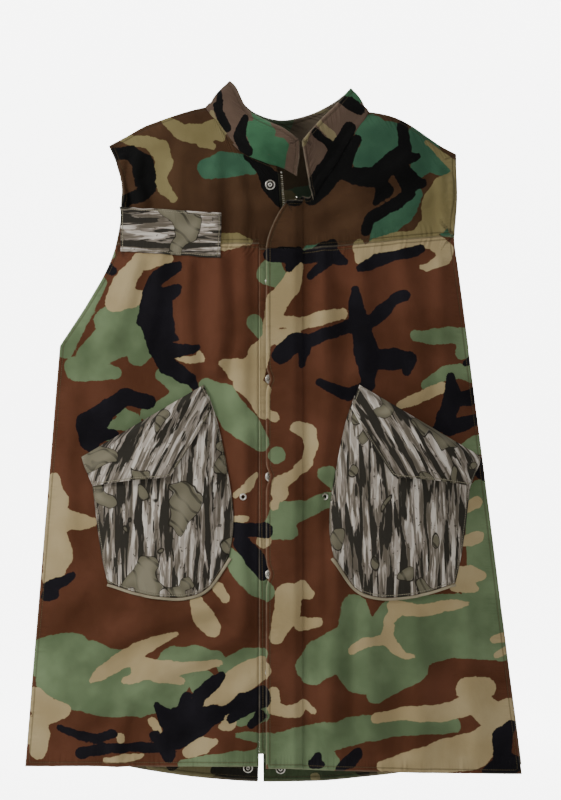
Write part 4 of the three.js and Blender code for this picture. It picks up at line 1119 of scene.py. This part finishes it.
def add_zip():
    for side in ("right", "left"):
        sign, top = SIDES[side]["sign"], CHAIN_TOP[side]
        body = f"{side}_front"

        def tape_point(u, v):
            z = mix(-ZIP_END, -top - 2, v)
            inner, outer = chain_x[side](z) + sign * TAPE_EDGE, chain_x[side](z) + sign * (TAPE_EDGE + TAPE_WIDTH)
            x = mix(outer, inner, u) if sign < 0 else mix(inner, outer, u)
            return on_body(True, x, z)

        tape = sheet(f"{side}_zip_tape_cloth", tape_point, (5, 190), -GAP - FACING, -GAP, TAPE, None, "lr", bead=0)
        dress(tape, f"{side}_zip_tape", body, bend)

        start = -top - 5 - (TOOTH_PITCH / 2 if sign < 0 else 0)
        heights = np.arange(start, -ZIP_END + 13, -TOOTH_PITCH)
        vertices, faces, count = [], [], len(TOOTH_PLAN)
        for z in heights:
            centre = chain_x[side](z)
            first = len(vertices)
            for depth, shrink in ((-TOOTH_BACK, 0.8), (-TOOTH_FRONT + 0.5, 1.0), (-TOOTH_FRONT, 0.7)):
                for across, high in TOOTH_PLAN:
                    trim = 1 if shrink == 1 else TOOTH_TRIM
                    x = centre + sign * (TOOTH_CENTRE + (across - TOOTH_CENTRE) * trim)
                    y = body_y(True, np.float64(x), np.float64(z))
                    vertices.append((x, y + depth, z + high * shrink))
            for ring in (0, 1):
                for k in range(count):
                    a, b = first + ring * count + k, first + ring * count + (k + 1) % count
                    faces.append((a, b, b + count, a + count) if sign > 0 else (b, a, a + count, b + count))
            caps = [tuple(first + 2 * count + k for k in range(count)), tuple(first + k for k in range(count))[::-1]]
            faces.extend(caps if sign > 0 else [cap[::-1] for cap in caps])
        teeth = make(f"{side}_zip_teeth", vertices, faces, None, BRASS)
        teeth.data.shade_flat()
        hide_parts(f"{side}_zip_chain")
        bend(teeth, body)

        z = -top - 2.2
        x = chain_x[side](-top - 2) + sign * (GAP / 2 + CHAIN_WIDTH / 2)
        local, quads = lathe(STOP, 16)
        stop = make(f"{side}_zip_stop", seated(local * (1.0, 1.25, 1), True, x, z, 0.1), quads, None, NICKEL)
        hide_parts(f"{side}_top_stop")
        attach(stop, "root")
    for node, finish in (("zip_slider", BRASS), ("zip_pull", BRASS), ("zip_pin", NICKEL), ("zip_box", NICKEL)):
        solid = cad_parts[node]
        solid.data.materials.clear()
        solid.data.materials.append(finish)


# ---------------------------------------------------------------- snaps and eyelets
STUD = [(0, 0), (7.1, 0), (7.4, 0.2), (7.3, 0.8), (6.7, 1.15), (5.6, 0.9), (4.4, 0.75), (3.3, 0.95), (2.9, 1.6),
        (3.0, 2.3), (2.6, 2.7), (1.9, 2.7), (1.4, 2.3), (1.2, 1.3), (0, 1.2)]
SOCKET = [(3.6, 0), (7.0, 0), (7.3, 0.3), (7.1, 1.0), (6.2, 1.6), (4.6, 1.75), (3.7, 1.5), (3.4, 0.8), (3.6, 0)]
EYELET = [(2.6, -1.1), (4.6, -1.1), (4.7, -0.5), (3.6, -0.3), (3.6, 1.9), (4.6, 1.95), (5.1, 2.2), (4.8, 2.8),
          (4.0, 3.1), (3.1, 3.0), (2.6, 2.5), (2.6, -1.1)]


STUD_GROOVE, STUD_HOLE = (2.8, 5.7), 1.5  # radii of the metal painted dark as shade in the stud's groove and hole


def fastener(node, profile, front, x, z, offset, flip=False):
    local, faces = lathe(profile)
    piece = make(f"{node}_metal", seated(local, front, x, z, offset, flip), faces, None, NICKEL)
    piece.data.materials.append(SHADED_HOLLOW_METAL)
    # faces in the stud's groove and centre hole take the dark copy: painted shade
    for face, corners in zip(piece.data.polygons, faces):
        ring = np.hypot(local[list(corners), 0], local[list(corners), 1])
        if profile is STUD and STUD_GROOVE[0] < ring.min() and ring.max() < STUD_GROOVE[1] or ring.max() < STUD_HOLE:
            face.material_index = 1
    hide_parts(node)
    return piece


def add_snaps():
    for i in range(SNAP_COUNT):
        z = -SNAP_FIRST - i * SNAP_PITCH
        stud = fastener(f"snap_stud_{i + 1}", STUD, True, SNAP_X, z, CLOTH + GAP)
        at_z = -YOKE_DEPTH + SNAP_RADIUS + 2 if i == 0 else z
        at_x = SNAP_X + 8 if i == 0 else SNAP_X
        socket = fastener(f"snap_socket_{i + 1}", SOCKET, True, at_x, at_z, FLAP_LIFT - GAP - 1.8)
        if i == 0:
            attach(stud, "root")
            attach(socket, "root")
            continue
        bend(stud, "right_front")
        if z > BEND_END - 2:
            bend(socket, "left_front")
        elif z > FLAP_BEND_END - 20:
            bend_flap(socket)
        else:
            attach(socket, "storm_flap")
    for node, (x, z) in TAIL_SNAPS.items():
        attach(fastener(node, STUD, False, x, z, -2 * BAND_GAP - FACING - 0.3, True), "root")
    for side, x in EYELETS.items():
        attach(fastener(f"{side}_eyelet", EYELET, True, x, -WAIST_DEPTH, -0.2), f"{side}_front")


# ---------------------------------------------------------------- pockets
pocket_inner, pocket_outer = curve(POCKET["inner"]), curve(POCKET["outer"])
pocket_depth, flap_depth = curve(POCKET["depth"]), curve(FLAP["depth"])
(MOUTH_X, MOUTH_Z), (MOUTH_END_X, MOUTH_END_Z) = POCKET["mouth"], POCKET["mouth_end"]
(FLAP_X, FLAP_Z), (FLAP_END_X, FLAP_END_Z) = FLAP["top"], FLAP["top_end"]


def mouth_z(x):
    return MOUTH_Z + (MOUTH_END_Z - MOUTH_Z) / (MOUTH_END_X - MOUTH_X) * (x - MOUTH_X)


def pocket_place(across, down):
    drop = down * pocket_depth(across)
    x = mix(pocket_inner(drop), pocket_outer(drop), across)
    return x, mouth_z(x) - drop


def crown(across):
    return 1 - np.abs(2 * np.clip(across, 0, 1) - 1) ** 2.6


def pocket_puff(across, down):
    return POCKET["puff"] * crown(across) * (1 - np.clip(down, 0, 1) ** 5)


def flap_place(across, down):
    drop = down * flap_depth(across)
    x = mix(FLAP_X - FLAP["taper"][0] * down, FLAP_END_X - FLAP["taper"][1] * down, across)
    top_x = mix(FLAP_X, FLAP_END_X, across)
    slope = (FLAP_END_Z - FLAP_Z) / (FLAP_END_X - FLAP_X)
    return x, FLAP_Z + slope * (top_x - FLAP_X) - drop, drop


def flap_height(across, down):
    x, z, drop = flap_place(across, down)
    puff = pocket_puff(across, (mouth_z(x) - z) / pocket_depth(across))
    clear = puff + CLOTH + 4 * GAP + POCKET["lift"] * crown(across)
    return CLOTH + GAP + clear * smooth(drop / FLAP["rise"])


BARK_TURN = {"right": 0.42, "left": 0.5, "pouch": 0.05}  # how far the bark print leans, in radians
POCKET_SNAP = (0.33, 0.78)  # where it sits on the flap, across and down


def pocket_sheet(side, name, place, offset, size, material, hems, turn=0.0, thick=CLOTH):
    """A pocket piece, worked out for the left side; the right side mirrors x and runs the other way."""
    sign, shift = SIDES[side]["sign"], POCKET["shift"][side]
    lean = sign * turn

    def spot(u, v):
        across = u if sign > 0 else 1 - u
        x, z = place(across, 1 - v)
        return across, sign * (x + shift), z

    def point(u, v):
        across, x, z = spot(u, v)
        return on_body(True, x, z) + body_normal(True, x, z) * offset(across, 1 - v)[..., None]

    def run(base, u, v):
        _, x, z = spot(u, v)
        return np.stack([x * math.cos(lean) + z * math.sin(lean), z * math.cos(lean) - x * math.sin(lean),
                         0 * x + len(name)], -1)

    return sheet(name, point, size, 0, thick, material, run, hems)


def add_pockets():
    rest = CLOTH + GAP
    for side in ("right", "left"):
        sign = SIDES[side]["sign"]

        def pouch_offset(across, down):
            belly = crown(across) * np.sin(math.pi * np.clip(down, 0, 1))
            sag = 1.3 * ripple(140 * across, 60 * down, 30, 51) * belly
            return rest + pocket_puff(across, down) + np.minimum(0, sag)

        def crowded(place):
            return lambda across, down: place(across, down**1.6)

        def edging(across, down):
            x, z = pocket_place(across, 1)
            next_x, next_z = pocket_place(np.minimum(1, across + 0.01), 1)
            last_x, last_z = pocket_place(np.maximum(0, across - 0.01), 1)
            length = np.hypot(next_x - last_x, next_z - last_z)
            out = 4 * GAP + BINDING_WIDTH * down
            return x + out * (next_z - last_z) / length, z - out * (next_x - last_x) / length

        flap_spot = crowded(lambda across, down: flap_place(across, down)[:2])
        pouch = pocket_sheet(side, f"{side}_pocket_pouch_cloth", pocket_place, pouch_offset, (60, 80), BARK, "lrbt",
                             BARK_TURN["pouch"])
        flap = pocket_sheet(side, f"{side}_pocket_flap_cloth", flap_spot, crowded(flap_height), (64, 36), BARK,
                            "lrb", BARK_TURN[side])
        binding = pocket_sheet(side, f"{side}_pocket_binding_cloth", edging, lambda across, down: rest + 0 * across,
                               (90, 3), BINDING, "bt")
        for piece, node, body in ((pouch, "pocket_pouch", "front"), (flap, "pocket_flap", "pocket_flap"),
                                  (binding, "pocket_binding", "front")):
            dress(piece, f"{side}_{node}", f"{side}_{body}")

        across, down = map(np.float64, POCKET_SNAP)
        x, z, _ = flap_place(across, down)
        puff = pocket_puff(across, (mouth_z(x) - z) / pocket_depth(across))
        at = sign * (x + POCKET["shift"][side])
        stud = fastener(f"{side}_pocket_stud", STUD, True, at, z, rest + puff + CLOTH + 2 * GAP)
        socket = fastener(f"{side}_pocket_socket", SOCKET, True, at, z, flap_height(across, down) - 4 * GAP - 1.7)
        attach(stud, f"{side}_front")
        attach(socket, f"{side}_pocket_flap")


def add_patch():
    (x0, z0), (x1, z1) = PATCH["low"], PATCH["high"]

    def point(u, v):
        x = mix(x0, x1, u)
        return on_body(True, x, mix(z0, z1, v) + PATCH["slope"] * (x - x0))

    def run(base, u, v):
        return np.stack([base[..., 2], base[..., 0], SEED["patch"] + 0 * u], -1)

    patch = sheet("chest_patch_cloth", point, (48, 24), CLOTH + GAP, CLOTH + GAP + 1.2, BARK, run, "lrbt")
    dress(patch, "chest_patch", "right_front", bend)


add_shell()
add_bands()
add_collar()
add_storm_flap()
add_zip()
add_snaps()
add_pockets()
add_patch()


# ---------------------------------------------------------------- studio
LAMPS = [  # name, place, size, power, aim
    ("key_light", (-2.9, -1.5, 1.3), 0.9, 98, (0.0, 0.0, -0.5)),
    ("fill_light", (1.6, -3.4, 0.0), 2.4, 17, (0.0, 0.0, -0.5)),
    ("top_light", (0.2, -1.0, 2.2), 1.8, 14, (0.0, 0.0, -0.3)),
]
GLOW_FROM, GLOW_FULL, GLOW, WORLD_LIGHT = 2.0, 5.0, 5.0, 0.32


def studio():
    shader = Shader("backdrop_paint")
    place = shader.place()
    tint = shader.blend(shader.noise(place, 3, 2), srgb("#fbfbf9"), srgb("#f4f4f2"))
    glow = shader.times(shader.step(shader.part(place, 1), GLOW_FROM, GLOW_FULL), GLOW)
    shader.finish(tint, 0.9, None, Emission_Color=(1, 1, 1, 1), Emission_Strength=glow)
    depth, height, width, radius, steps = 12.0, 8.0, 9.0, 3.0, 16
    floor, front = -1.6, -5.0
    profile = [(front, floor)]
    for k in range(steps + 1):
        turn = k / steps * math.pi / 2
        profile.append((depth - radius + radius * math.sin(turn), floor + radius - radius * math.cos(turn)))
    profile.append((depth, height))
    vertices = [(x, y, z) for y, z in profile for x in (-width, width)]
    faces = [(2 * k, 2 * k + 1, 2 * k + 3, 2 * k + 2) for k in range(len(profile) - 1)]
    backdrop = make("studio_backdrop", np.array(vertices) / MM, faces, None, shader.material)
    for name, place, size, power, aim in LAMPS:
        lamp = bpy.data.lights.new(name, "AREA")
        lamp.shape, lamp.size, lamp.energy = "DISK", size, power
        holder = bpy.data.objects.new(name, lamp)
        bpy.context.collection.objects.link(holder)
        holder.location = place
        away = np.array(place) - np.array(aim)
        holder.rotation_euler = (math.atan2(math.hypot(away[0], away[1]), away[2]), 0,
                                 math.atan2(away[1], away[0]) + math.pi / 2)
    world = bpy.data.worlds.new("studio_world")
    bpy.context.scene.world = world
    world.use_nodes = True
    light = world.node_tree.nodes["Background"].inputs
    light["Color"].default_value = (1, 1, 1, 1)
    light["Strength"].default_value = WORLD_LIGHT


studio()
